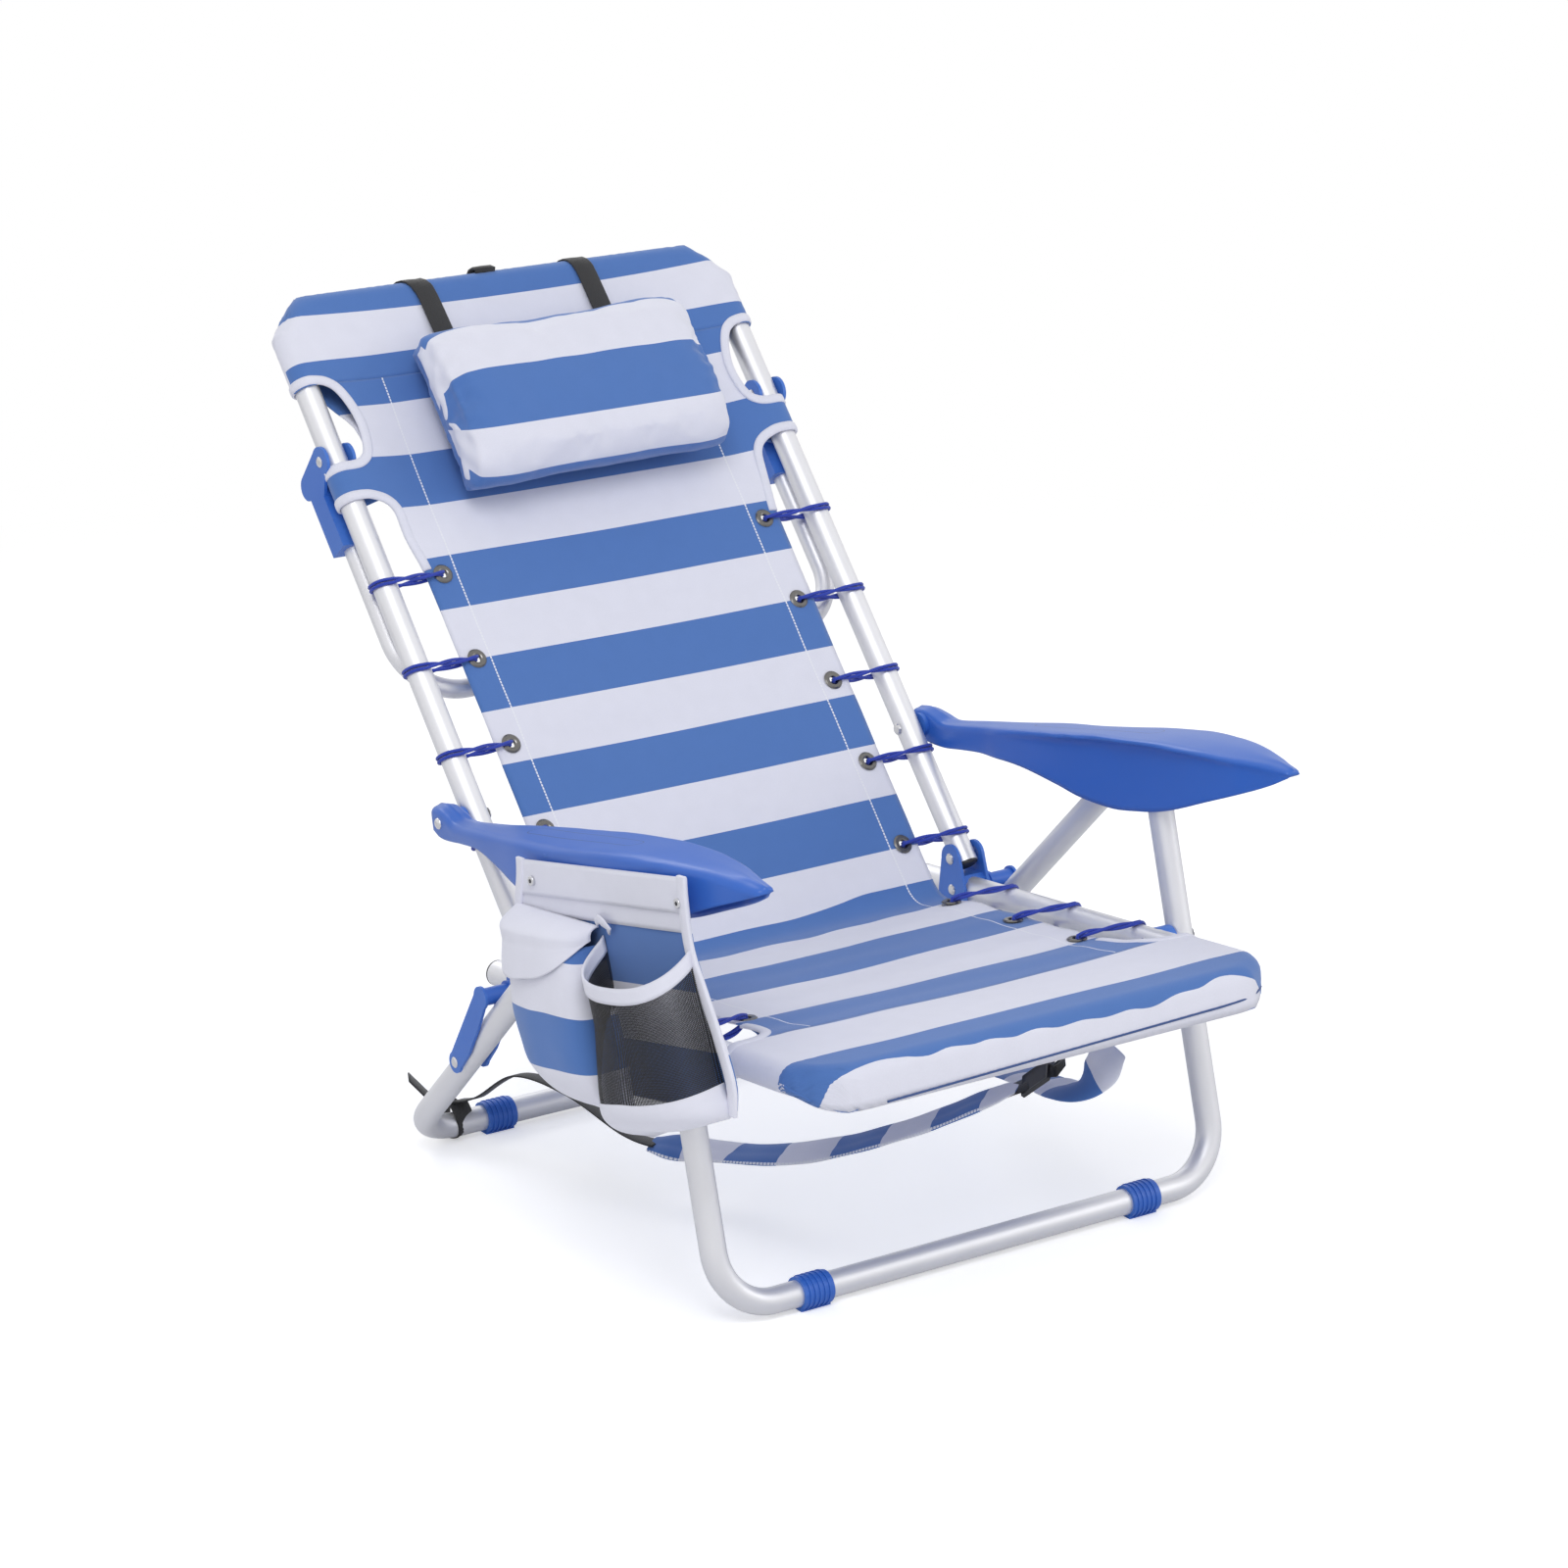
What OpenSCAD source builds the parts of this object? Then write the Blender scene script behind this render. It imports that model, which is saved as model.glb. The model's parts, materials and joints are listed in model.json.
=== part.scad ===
// Folding low beach chair: aluminium U tubes, laced fabric sling, moulded armrests.
// Millimetres. X across the seat, +Y to the rear, +Z up, ground at z = 0.

/* [Frame] */
// Outer diameter of the frame tubes
tube_d = 25; // [24.6:0.1:25.4]
// Wall thickness of the frame tubes
tube_wall = 1.2; // [1:0.1:1.6]
// Distance between the seat rail centres
seat_w = 508; // [480:4:540]
// Distance from the back pivot up to the centre of the top bar
back_len = 700; // [690:2:720]
// Centreline bend radius of the seat and back tubes
bend_r = 50; // [40:1:56]
// Centreline bend radius of the two leg tubes
leg_bend_r = 56; // [50:1:64]

/* [Hardware] */
// Shank diameter of rivets, bolts and leg pins
pin_d = 6; // [5:0.2:6.4]
// Radial clearance of a turning joint
run_gap = 0.05; // [0.03:0.01:0.1]
// Diameter of the elastic lacing cord
cord_d = 4.4; // [4:0.1:4.8]
// Outer diameter of the eyelets
eyelet_d = 20; // [18:0.5:22]
// Length of one clip-on foot
foot_len = 32; // [24:1:40]

/* [Armrests] */
// Wall thickness of the moulded armrest
arm_wall = 2.6; // [2.2:0.1:3]
// Distance between two notches of the recline rack
rack_pitch = 26; // [24:0.5:28]
// Number of notches in each recline rack
rack_count = 4; // [3:1:4]

/* [Fabric] */
// Thickness of the sling cloth
cloth_t = 3; // [2:0.2:3.6]
// Height of the laced seat cloth above the rail centres
seat_lift = 7; // [5:0.5:8]
// Width of the head pillow
pillow_w = 288; // [240:4:320]
// Greatest thickness of the head pillow
pillow_t = 66; // [50:2:72]
// How far the zipped pocket stands off its panel
pocket_depth = 50; // [30:2:60]

/* [Hidden] */
$fn = 48;
tube_r = tube_d / 2;
bore_r = tube_r - tube_wall;
pin_r = pin_d / 2;
run_r = pin_r + run_gap;
half_w = seat_w / 2;
plane_gap = 6;
front_x = half_w + tube_d + plane_gap;
rear_x = front_x + 12;
ear_in = half_w - tube_r - 0.2;
ear_out = half_w + tube_r + 0.8;
ear_t = 3.3;

// Pivot points in the side view, [y, z]
seat_bar = [-278, 257];
front_bar = [-180.5, tube_r + 3];
rear_bar = [347.2, tube_r + 3];
back_pivot = [187.8, 242.3];
leg_pivot = [-116, 240.9];
pin_pivot = [-38.8, 404.1];
link_low = [231.7, 131.7];
link_high = [183.9, 211.1];
arm_up = 146;
towel_up = 536;

// Directions of the tubes in the side view, degrees from +Y towards +Z
seat_dir = -5.654;
back_dir = 49.34;
front_dir = 74.04;
rear_dir = 134.8;
link_dir = 121.05;

arm_pivot = back_pivot + arm_up * ray(back_dir);
towel_pivot = back_pivot + towel_up * ray(back_dir);

// Lacing stations: along the back from its pivot, along the seat from y = 0
back_laces = [25, 118, 210, 303, 396.5];
seat_laces = [-80, 20, 120];
lace_x = half_w - 64.5;

// Places up the back, all measured down from the top bar
cap_full = back_len - 88;
cap_cut = back_len - 129;
cap_mouth = back_len - 169;
tab_low = back_len - 215;
pillow_mid = back_len - 138;

// Middle of the whole object, so that the origin sits under it on the ground
arm_reach = 78;
cup_reach = 62;
mid_x = (arm_reach - cup_reach - 80.6) / 2;
mid_y = 183.9 + (back_len - 700) * 0.6516 / 2;

blue = [0.12, 0.32, 0.75];
sky = [0.29, 0.47, 0.75];
alu = [0.78, 0.79, 0.82];
steel = [0.62, 0.63, 0.65];
white = [0.9, 0.9, 0.95];
black = [0.08, 0.08, 0.09];
cord_blue = [0.11, 0.16, 0.55];

// ---------- helpers ----------

function ray(a) = [cos(a), sin(a)];
function side(a) = [sin(a), -cos(a)];
function along(p, o, a) = (p - o) * ray(a);
function across(p, o, a) = (p - o) * side(a);
function mix(a, b, t) = a + (b - a) * t;

// Straight-line lookup in a table of [key, value] rows with rising keys
function track(table, x, i = 0) =
    x <= table[0][0] ? table[0][1] :
    i >= len(table) - 1 ? table[len(table) - 1][1] :
    x <= table[i + 1][0]
        ? mix(table[i][1], table[i + 1][1], (x - table[i][0]) / (table[i + 1][0] - table[i][0]))
        : track(table, x, i + 1);

// Smooth lookup in the same kind of table
function slope(t, i) =
    i == 0 ? (t[1][1] - t[0][1]) / (t[1][0] - t[0][0]) :
    i == len(t) - 1 ? (t[i][1] - t[i - 1][1]) / (t[i][0] - t[i - 1][0]) :
    (t[i + 1][1] - t[i - 1][1]) / (t[i + 1][0] - t[i - 1][0]);
function hermite(t, i, x) = let(h = t[i + 1][0] - t[i][0], u = (x - t[i][0]) / h)
    (2 * u ^ 3 - 3 * u ^ 2 + 1) * t[i][1] + (u ^ 3 - 2 * u ^ 2 + u) * h * slope(t, i)
    + (3 * u ^ 2 - 2 * u ^ 3) * t[i + 1][1] + (u ^ 3 - u ^ 2) * h * slope(t, i + 1);
function curve(t, x, i = 0) =
    x <= t[0][0] ? t[0][1] :
    i >= len(t) - 1 ? t[len(t) - 1][1] :
    x <= t[i + 1][0] ? hermite(t, i, x) : curve(t, x, i + 1);

module both() {
    children();
    mirror([1, 0, 0]) children();
}

// Local frame with +Z along a direction of the side view
module aim(p, a) {
    translate([0, p[0], p[1]])
        rotate([a - 90, 0, 0])
            children();
}

// Side-view outline pulled along X
module plate(x0, x1) {
    translate([x0, 0, 0])
        rotate([90, 0, 90])
            linear_extrude(x1 - x0)
                children();
}

// Round bar along X
module rod(p, r, x0, x1) {
    translate([x0, p[0], p[1]])
        rotate([0, 90, 0])
            cylinder(r = r, h = x1 - x0);
}

// Domed rivet head that points to +X
module head(p, x, r, t) {
    translate([x, p[0], p[1]])
        rotate([0, 90, 0])
            rotate_extrude()
                polygon([[0, 0], [r, 0], [r, t * 0.3], [r * 0.8, t * 0.75], [r * 0.4, t], [0, t]]);
}

// One leg of a U tube with its bend and half of the bar
module u_side(half, leg, bend, r) {
    translate([half, 0, bend])
        cylinder(r = r, h = leg - bend);
    translate([half - bend, 0, bend])
        rotate([90, 0, 0])
            rotate_extrude(angle = -90)
                translate([bend, 0])
                    circle(r = r);
    translate([0, 0, 0])
        rotate([0, 90, 0])
            cylinder(r = r, h = half - bend);
}

// Hollow U tube: bar along X at the origin, legs up +Z
module u_tube(half, leg, bend, r = tube_r, wall = tube_wall) {
    difference() {
        both() u_side(half, leg, bend, r);
        both() u_side(half, leg, bend, r - wall);
        both() translate([half, 0, leg - 1]) cylinder(r = r - wall, h = 2);
    }
}

// Stack of equal rings of points closed into one solid
module loft(rings) {
    n = len(rings[0]);
    m = len(rings);
    polyhedron(
        points = [for (ring = rings) each ring],
        faces = [
            [for (k = [n - 1:-1:0]) k],
            for (i = [0:m - 2]) for (k = [0:n - 1])
                let(a = i * n + k, b = i * n + (k + 1) % n)
                each [[a, b, b + n], [a, b + n, a + n]],
            [for (k = [0:n - 1]) (m - 1) * n + k]
        ]
    );
}

// Round cord swept along a route
function unit(v) = v / norm(v);
function tangent(p, i) = unit(p[min(i + 1, len(p) - 1)] - p[max(i - 1, 0)]);
module cord(route, r, sides, up) {
    loft([for (i = [0:len(route) - 1])
        let(t = tangent(route, i), u = unit(cross(t, up)), v = cross(t, u))
        [for (k = [0:sides - 1]) let(a = 360 * k / sides) route[i] + r * (cos(a) * u + sin(a) * v)]]);
}

// Flat strap swept along a route of [x, y, z, twist]
module strap(route, w, t) {
    points = [for (q = route) [q[0], q[1], q[2]]];
    loft([for (i = [0:len(route) - 1])
        let(d = tangent(points, i), flat = unit(cross(d, [0, 0, 1])), a = route[i][3],
            u = flat * cos(a) + cross(d, flat) * sin(a), v = cross(d, u))
        [for (s = [[-1, -1], [1, -1], [1, 1], [-1, 1]]) points[i] + s[0] * w / 2 * u + s[1] * t / 2 * v]]);
}

// ---------- seat ----------

seat_len = along([247, 229.47 - 0.099 * 247], seat_bar, seat_dir);
seat_o = [0, 229.47];

module at_seat() {
    translate([0, seat_o[0], seat_o[1]])
        rotate([seat_dir, 0, 0])
            children();
}

module seat_frame() {
    color(alu)
    difference() {
        aim(seat_bar, seat_dir) u_tube(half_w, seat_len, bend_r);
        both() rod(leg_pivot, pin_r, half_w - 20, half_w + 20);
        both() rod(link_high, pin_r, half_w - 20, half_w + 20);
    }
}

module rail_end_plugs() {
    color(black)
    both()
        aim(seat_bar, seat_dir)
            translate([half_w, 0, seat_len - 14]) {
                cylinder(r = bore_r, h = 15);
                translate([0, 0, 14]) cylinder(r = tube_r, h = 2);
                translate([0, 0, 16]) cylinder(r1 = tube_r, r2 = tube_r - 2, h = 1.2);
            }
}

module ear_outline() {
    e = back_pivot;
    translate(e) circle(r = 14.5);
    polygon([e + [-14.3, 2.4], [163.5, 216], [162.5, 203], [166, 197.5], [202, 193.5],
        [206, 197], [206, 208], e + [14.4, -1.6], e + [9, 8], e + [-9, 8]]);
}

module hinge_bracket(s) {
    color(blue)
    mirror([s < 0 ? 1 : 0, 0, 0])
    difference() {
        union() {
            plate(ear_in - ear_t, ear_in) ear_outline();
            plate(ear_out, ear_out + ear_t) ear_outline();
            plate(ear_in - 0.01, ear_out + 0.01)
                polygon([[168, 199], [203, 195.6], [204.4, 220], [199, 224.4], [173.4, 226.9], [168, 222]]);
        }
        aim(seat_bar, seat_dir) translate([half_w, 0, 300]) cylinder(r = tube_r + 0.05, h = 400);
        rod(back_pivot, pin_r, ear_in - 10, ear_out + 10);
        rod(link_high, pin_r, ear_in - 10, ear_out + 10);
        aim(back_pivot, back_dir) translate([half_w, 0, 0]) sphere(r = 15.6);
        plate(ear_out + ear_t - 0.8, ear_out + ear_t + 1)
            translate(link_high) circle(r = 4.4);
    }
}

module bracket_rivets() {
    color(steel)
    both() {
        rod(link_high, pin_r, ear_in - ear_t, ear_out + ear_t - 0.8);
        rod(link_high, 4.4, ear_out + ear_t - 0.8, ear_out + ear_t);
        mirror([1, 0, 0]) head(link_high, -(ear_in - ear_t), 5.4, 2);
    }
}

module back_pivot_rivets() {
    color(steel)
    both() {
        rod(back_pivot, pin_r, ear_in - ear_t, ear_out + ear_t);
        head(back_pivot, ear_out + ear_t, 5, 0.9);
        mirror([1, 0, 0]) head(back_pivot, -(ear_in - ear_t), 5.8, 2.2);
    }
}

module leg_spacers() {
    color(blue)
    both()
        difference() {
            rod(leg_pivot, 13, half_w + 2, front_x - tube_r - run_gap);
            rod(leg_pivot, pin_r, half_w, front_x);
            aim(seat_bar, seat_dir) translate([half_w, 0, 100]) cylinder(r = tube_r + 0.05, h = 300);
        }
}

module leg_bolts() {
    color(steel)
    both() {
        rod(leg_pivot, pin_r, half_w - tube_r, front_x + tube_r + 0.1);
        mirror([1, 0, 0]) head(leg_pivot, -(half_w - tube_r), 6, 2.4);
        head(leg_pivot, front_x + tube_r + 0.1, 6, 2.4);
    }
}

module eyelet_holes(stations) {
    for (s = stations)
        both()
            translate([lace_x, s, 0])
                cylinder(d = eyelet_d * 0.56, h = 40, center = true);
}

module eyelet_rings(stations) {
    for (s = stations)
        both()
            translate([lace_x, s, 0])
                rotate_extrude()
                    polygon([
                        [eyelet_d * 0.28, -cloth_t / 2 - 1.2], [eyelet_d * 0.28 - 1.2, -cloth_t / 2 - 0.6],
                        [eyelet_d * 0.28 - 1.2, cloth_t / 2 + 0.6], [eyelet_d * 0.28, cloth_t / 2 + 1.2],
                        [eyelet_d / 2 - 1.5, cloth_t / 2 + 1.2], [eyelet_d / 2, cloth_t / 2],
                        [eyelet_d * 0.28, cloth_t / 2], [eyelet_d * 0.28, -cloth_t / 2],
                        [eyelet_d / 2, -cloth_t / 2], [eyelet_d / 2 - 1.5, -cloth_t / 2 - 1.2]
                    ]);
}

// Lacing loop: through the eyelet at height z, over the tube, around it and back below
module lace(shift, z) {
    r = tube_r + cord_d / 2 + 0.35;
    lift = cloth_t / 2 + 1.2 + cord_d / 2 + 0.3;
    x = lace_x;
    cord([
        [x, 0, z + 0.1], [x, 0, z + lift], [x + 2, 0, z + lift + 1.6], [x + 10, 0, z + lift + 2],
        [half_w - 12, shift * 0.42, r * 0.94],
        for (k = [0:7]) let(a = 88 - k * 176 / 7)
            [half_w + r * cos(a), shift * (0.5 - k / 7), r * sin(a)],
        [half_w - 12, -shift * 0.42, -r * 0.94],
        [x + 10, 0, z - lift - 2], [x + 2, 0, z - lift - 1.6], [x, 0, z - lift], [x, 0, z - 0.1]
    ], cord_d / 2, 8, [0.02, 1, 0.01]);
}

sling_half = half_w - 47;
sleeve_y = -158;

module seat_sling() {
    color(sky)
    at_seat()
        difference() {
            translate([-sling_half, -103.5, seat_lift - cloth_t / 2])
                cube([2 * sling_half, 258, cloth_t]);
            eyelet_holes(seat_laces);
        }
}

module seat_eyelets() {
    color(steel) at_seat() translate([0, 0, seat_lift]) eyelet_rings(seat_laces);
}

module seat_cords() {
    color(cord_blue)
    at_seat()
        for (s = seat_laces)
            both()
                translate([0, s, 0])
                    lace(-26, seat_lift);
}

// Bag that closes over the end of a U tube: lip at -Y, tubes along +Y
module bag(r, half, bend, end, mouth, full, lip, lift = 0) {
    $fn = 32;
    hull() {
        both() {
            translate([half, end + bend, 0]) rotate([-90, 0, 0]) cylinder(r = r, h = full - end - bend);
            translate([half - bend, end + bend, 0])
                rotate_extrude(angle = -90) translate([bend, 0]) circle(r = r);
        }
        translate([-lip, full, lift - r * 0.12]) cube([2 * lip, mouth - full, r * 0.24]);
    }
}

module seat_sleeve() {
    end = -278 / cos(seat_dir);
    color(white)
    at_seat()
        difference() {
            bag(tube_r + 2.1, half_w, bend_r, end, -105, sleeve_y, sling_half, seat_lift);
            bag(tube_r + 0.6, half_w, bend_r, end, -104, sleeve_y, sling_half - 4, seat_lift);
            both() translate([half_w, -250, 0]) rotate([-90, 0, 0]) cylinder(r = tube_r + 0.35, h = 200);
            both() translate([half_w + 4, -131, 0]) cylinder(r = 26, h = 60, center = true);
        }
}

module strap_pad_left() {
    color(sky)
    strap([[-160, 120, 50, 0], [-129, 80, 50, 0], [-98, 10, 62, 0], [-62, -50, 82, 0],
        [-22, -120, 118, 0], [7, -170, 150, 0], [26, -205, 172, 0]], 46, 9);
}

module strap_web_left() {
    color(black)
    strap([[-262, 352, 36, 0], [-240, 352, 36, 0], [-229, 330, 46, 0], [-205, 292, 80, 0], [-184, 230, 72, 0],
        [-172, 137, 52, 0], [-160.4, 120.6, 50.3, 0]], 24, 1.8);
}

module strap_buckle() {
    color(black)
    strap([[26.2, -205.4, 172.3, 0], [36, -222, 185, 0], [44, -236, 199, 0], [46, -240, 207, 0]], 26, 4);
}

module strap_pad_right() {
    color(sky)
    strap([[104, -248, 207, 0], [90, -240, 184, 0], [80, -226, 166, 0], [84, -200, 154, 0], [104, -150, 138, 0],
        [146, -70, 110, 0], [186, 20, 84, 0], [222, 110, 62, 0]], 46, 9);
}

// ---------- back ----------

end_up = -8;

module back_frame() {
    color(alu)
    difference() {
        aim(back_pivot, back_dir)
            translate([0, 0, back_len])
                mirror([0, 0, 1])
                    u_tube(half_w, back_len - end_up, bend_r);
        both() rod(back_pivot, run_r, half_w - 20, half_w + 20);
        both() rod(arm_pivot, pin_r, half_w - 20, half_w + 20);
        both() rod(towel_pivot, pin_r, half_w - 20, half_w + 20);
    }
}

module back_end_plugs() {
    color(black)
    aim(back_pivot, back_dir)
        both()
            translate([half_w, 0, end_up]) {
                translate([0, 0, -0.01]) cylinder(r = bore_r, h = 4);
                translate([0, 0, -1.5]) cylinder(r = tube_r - 0.6, h = 1.5);
                translate([0, 0, -3]) cylinder(r1 = tube_r - 3.5, r2 = tube_r - 0.6, h = 1.5);
            }
}

// Local frame on the back: x across, y up the back, z to the front
module on_back() {
    aim(back_pivot, back_dir)
        rotate([90, 0, 0])
            children();
}

cloth_front = 2;

module back_sling() {
    color(sky)
    on_back()
        difference() {
            union() {
                translate([-sling_half, -20, cloth_front - cloth_t / 2])
                    cube([2 * sling_half, cap_mouth + 19, cloth_t]);
                translate([-half_w + tube_r + 1, tab_low, cloth_front - cloth_t / 2])
                    cube([seat_w - tube_d - 2, 27, cloth_t]);
                both() translate([half_w, tab_low, 0]) rotate([-90, 0, 0]) cylinder(r = tube_r + 2.1, h = 27);
            }
            both() translate([half_w, tab_low - 5, 0]) rotate([-90, 0, 0]) cylinder(r = tube_r + 0.2, h = 41);
            translate([0, 0, cloth_front]) eyelet_holes(back_laces);
        }
}

module back_eyelets() {
    color(steel) on_back() translate([0, 0, cloth_front]) eyelet_rings(back_laces);
}

module back_cords() {
    color(cord_blue)
    on_back()
        for (s = back_laces)
            both()
                translate([0, s, 0])
                    lace(-5, cloth_front);
}

module back_sleeve() {
    color(white)
    on_back()
        mirror([0, 1, 0])
            difference() {
                bag(tube_r + 2.1, half_w, bend_r, -back_len, -cap_mouth, -cap_full, half_w - 28);
                bag(tube_r + 0.6, half_w, bend_r, -back_len, 2 - cap_mouth, -cap_full, half_w - 33);
                both() translate([half_w, -cap_full - 28, 0]) rotate([-90, 0, 0]) cylinder(r = tube_r + 0.35, h = 200);
                both() translate([half_w + 11, -cap_cut, 0]) cylinder(r = 40, h = 60, center = true);
            }
}

// D section of the pillow at one station: flat towards the back, full towards the head
function pillow_ring(x, scale) =
    let(lift = tube_r + 4.2, mid = pillow_mid, h = 88 * (0.72 + 0.28 * scale), t = pillow_t * scale)
    [for (k = [0:17]) let(a = -90 + 360 * k / 18, c = cos(a), s = sin(a))
        [x, mid + h * s, lift + (c > 0 ? 8 + (t - 8) * c ^ 0.7 : 8 + 8 * c)]];

module pillow() {
    half = pillow_w / 2;
    mid = 14;
    color(sky)
    on_back()
        loft([for (q = [[-1, 0.42], [-0.985, 0.62], [-0.93, 0.8], [-0.8, 0.92], [-0.5, 0.98], [0, 1],
            [0.5, 0.98], [0.8, 0.92], [0.93, 0.8], [0.985, 0.62], [1, 0.42]])
            pillow_ring(mid + q[0] * half, q[1])]);
}

module pillow_straps() {
    r = tube_r + 2.3;
    color(black)
    on_back()
        for (x = [-88, 101])
            translate([x - 11.2, 0, 0])
                rotate([90, 0, 90])
                    linear_extrude(22.4) {
                        translate([pillow_mid - 6, r]) square([back_len - pillow_mid + 6, 1.5]);
                        translate([back_len - 60, -r - 1.5]) square([60, 1.5]);
                        intersection() {
                            translate([back_len, 0]) difference() {
                                circle(r = r + 1.5);
                                circle(r = r);
                            }
                            translate([back_len, -40]) square([40, 80]);
                        }
                    }
}

module hang_tab() {
    r = tube_r + 2.3;
    color(black)
    on_back()
        translate([-3, 0, 0])
            rotate([90, 0, 90])
                linear_extrude(26)
                    translate([back_len, 0]) {
                        intersection() {
                            difference() {
                                circle(r = r + 1.6);
                                circle(r = r);
                            }
                            translate([6, -r - 4]) square([40, 2 * r + 8]);
                        }
                        translate([r + 0.5, -7]) square([5.5, 7]);
                    }
}

module armrest_bolts() {
    color(steel)
    both() {
        rod(arm_pivot, pin_r, half_w - tube_r, half_w + 28);
        mirror([1, 0, 0]) head(arm_pivot, -(half_w - tube_r), 6, 2.4);
        head(arm_pivot, half_w + 28, 5.5, 2.4);
    }
}

// ---------- towel bar ----------

towel_off = 29.5;
towel_r = 9.5;
towel_low = 288;

module towel_bar() {
    color(alu)
    aim(back_pivot, back_dir)
        translate([0, towel_off, towel_low])
            u_tube(half_w, 170, 60, towel_r, 1.1);
}

module fork_outline() {
    circle(r = 15);
    translate([40, -7]) circle(r = 13);
    translate([towel_off, -84]) translate([-13, 0]) square([26, 70]);
    polygon([[0, 15], [41, 6], [40, -40], [towel_off - 12.4, -84], [towel_off - 12.4, -30], [0, -15]]);
}

module towel_fork(s) {
    color(blue)
    mirror([s < 0 ? 1 : 0, 0, 0])
    aim(towel_pivot, back_dir)
        difference() {
            union() {
                plate(ear_in - ear_t, ear_in) fork_outline();
                plate(ear_out, ear_out + ear_t) fork_outline();
                intersection() {
                    plate(ear_in - 0.01, ear_out + 0.01) fork_outline();
                    plate(0, 2 * half_w)
                        polygon([[tube_r + 2.6, -100], [60, -100], [60, 25.8], [tube_r + 2.6, -5.8]]);
                }
                translate([half_w, towel_off, -84]) cylinder(r = 12.4, h = 60);
            }
            translate([half_w, towel_off, towel_low - towel_up + 60]) cylinder(r = towel_r, h = 110);
            rod([0, 0], run_r, ear_in - 10, ear_out + 10);
        }
}

module towel_rivets() {
    color(steel)
    both() {
        rod(towel_pivot, pin_r, ear_in - ear_t - 0.05, ear_out + ear_t + 0.05);
        head(towel_pivot, ear_out + ear_t + 0.05, 5.4, 1.8);
        mirror([1, 0, 0]) head(towel_pivot, -(ear_in - ear_t - 0.05), 5.4, 1.8);
    }
}

// ---------- armrests ----------

// Rows of [y, value]: heights of the top and of the lower edges, and distances outside the rail centre
arm_top_in = [[-284, 438], [-270, 440.5], [-240, 442], [-200, 439], [-150, 436], [-100, 431], [-50, 423],
    [0, 415], [50, 404.5], [100, 394], [150, 383], [200, 372], [250, 362.5], [268, 366], [284, 368.5], [298, 366]];
arm_top_out = [[-284, 438], [-270, 440.5], [-240, 443], [-200, 439], [-150, 434], [-100, 427], [-50, 420],
    [0, 411], [50, 401.7], [100, 392.5], [150, 382], [200, 372], [250, 362.7], [268, 366], [284, 368], [298, 366]];
arm_in_x = [[-284, 38], [-270, 34], [-240, 27], [-200, 15], [-150, 7], [-100, 4], [-50, 3.5],
    [0, 5], [50, 6.5], [100, 9], [150, 12.9], [185, 17.6], [298, 17.6]];
arm_out_x = [[-284, 46], [-270, 50], [-240, 57], [-200, 67], [-150, 74], [-100, 77], [-50, 78],
    [0, 76], [50, 73], [100, 69], [150, 61], [200, 54], [250, 46], [298, 40]];
wall_in_x = [[-284, 39], [-270, 35], [-240, 28.5], [-200, 19], [-150, 14.2], [-100, 13.3],
    [150, 13.3], [185, 17.6], [298, 17.6]];
arm_low_in = [[-284, 434], [-263, 431], [-208, 407], [-166, 390], [-124, 372], [-95, 362], [-66, 355],
    [-36, 349], [-6, 347], [24, 347], [55, 350], [118, 353], [183, 348], [215, 343], [248, 337.5], [284, 338],
    [298, 342]];
arm_low_out = [[-284, 434], [-260, 433], [-215, 417], [-166, 394], [-124, 374], [-95, 362], [-66, 354],
    [-36, 347], [-6, 343], [24, 342], [55, 342.5], [106, 346], [150, 351], [192, 354], [230, 348], [264, 341],
    [284, 339], [298, 342]];
arm_stations = [-284, -278, -268, -252, -232, -205, -175, -145, -115, -85, -55, -25, 5, 35, 65, 95, 125, 152,
    178, 200, 222, 242, 258, 272, 286, 298];

// Section of the armrest skin moved inwards by w
function arm_ring(y, w) =
    let(xi = half_w + curve(arm_in_x, y) + w, xo = half_w + curve(arm_out_x, y) - w,
        wi = half_w + curve(wall_in_x, y) + w,
        ti = curve(arm_top_in, y) - w, to = curve(arm_top_out, y) - w,
        bi = curve(arm_low_in, y), bo = curve(arm_low_out, y),
        span = xo - xi, r = min(8, span / 3), drop = w > 0 ? 20 : 0, wo = xo - min(2, span / 12))
    [
        [wi, y, bi - drop], [wi, y, max(bi + 0.5, ti - r * 1.4)], [xi, y, max(bi + 1, ti - r * 0.5)],
        [xi + r * 0.3, y, ti - r * 0.12], [xi + r, y, ti + 0.4],
        [mix(xi, xo, 0.5), y, mix(ti, to, 0.5) + 1.6],
        [xo - r, y, to + 0.2], [xo - r * 0.45, y, to - r * 0.14], [xo - r * 0.12, y, to - r * 0.45],
        [xo, y, max(bo + 0.5, to - r)], [wo, y, bo - drop]
    ];

module arm_skin() {
    difference() {
        loft([for (k = [len(arm_stations) - 1:-1:0]) arm_ring(arm_stations[k], 0)]);
        loft([for (k = [len(arm_stations) - 2:-1:2])
            let(y = arm_stations[k] + (k == 2 ? 3 : k == len(arm_stations) - 2 ? 9 : 0)) arm_ring(y, arm_wall)]);
    }
}

// Recline rack seen from the side: soft notches that sit on the leg pin
rack_dir = atan2(pin_pivot[1] - arm_pivot[1], pin_pivot[0] - arm_pivot[0]);
rack_at = norm(pin_pivot - arm_pivot);

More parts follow.
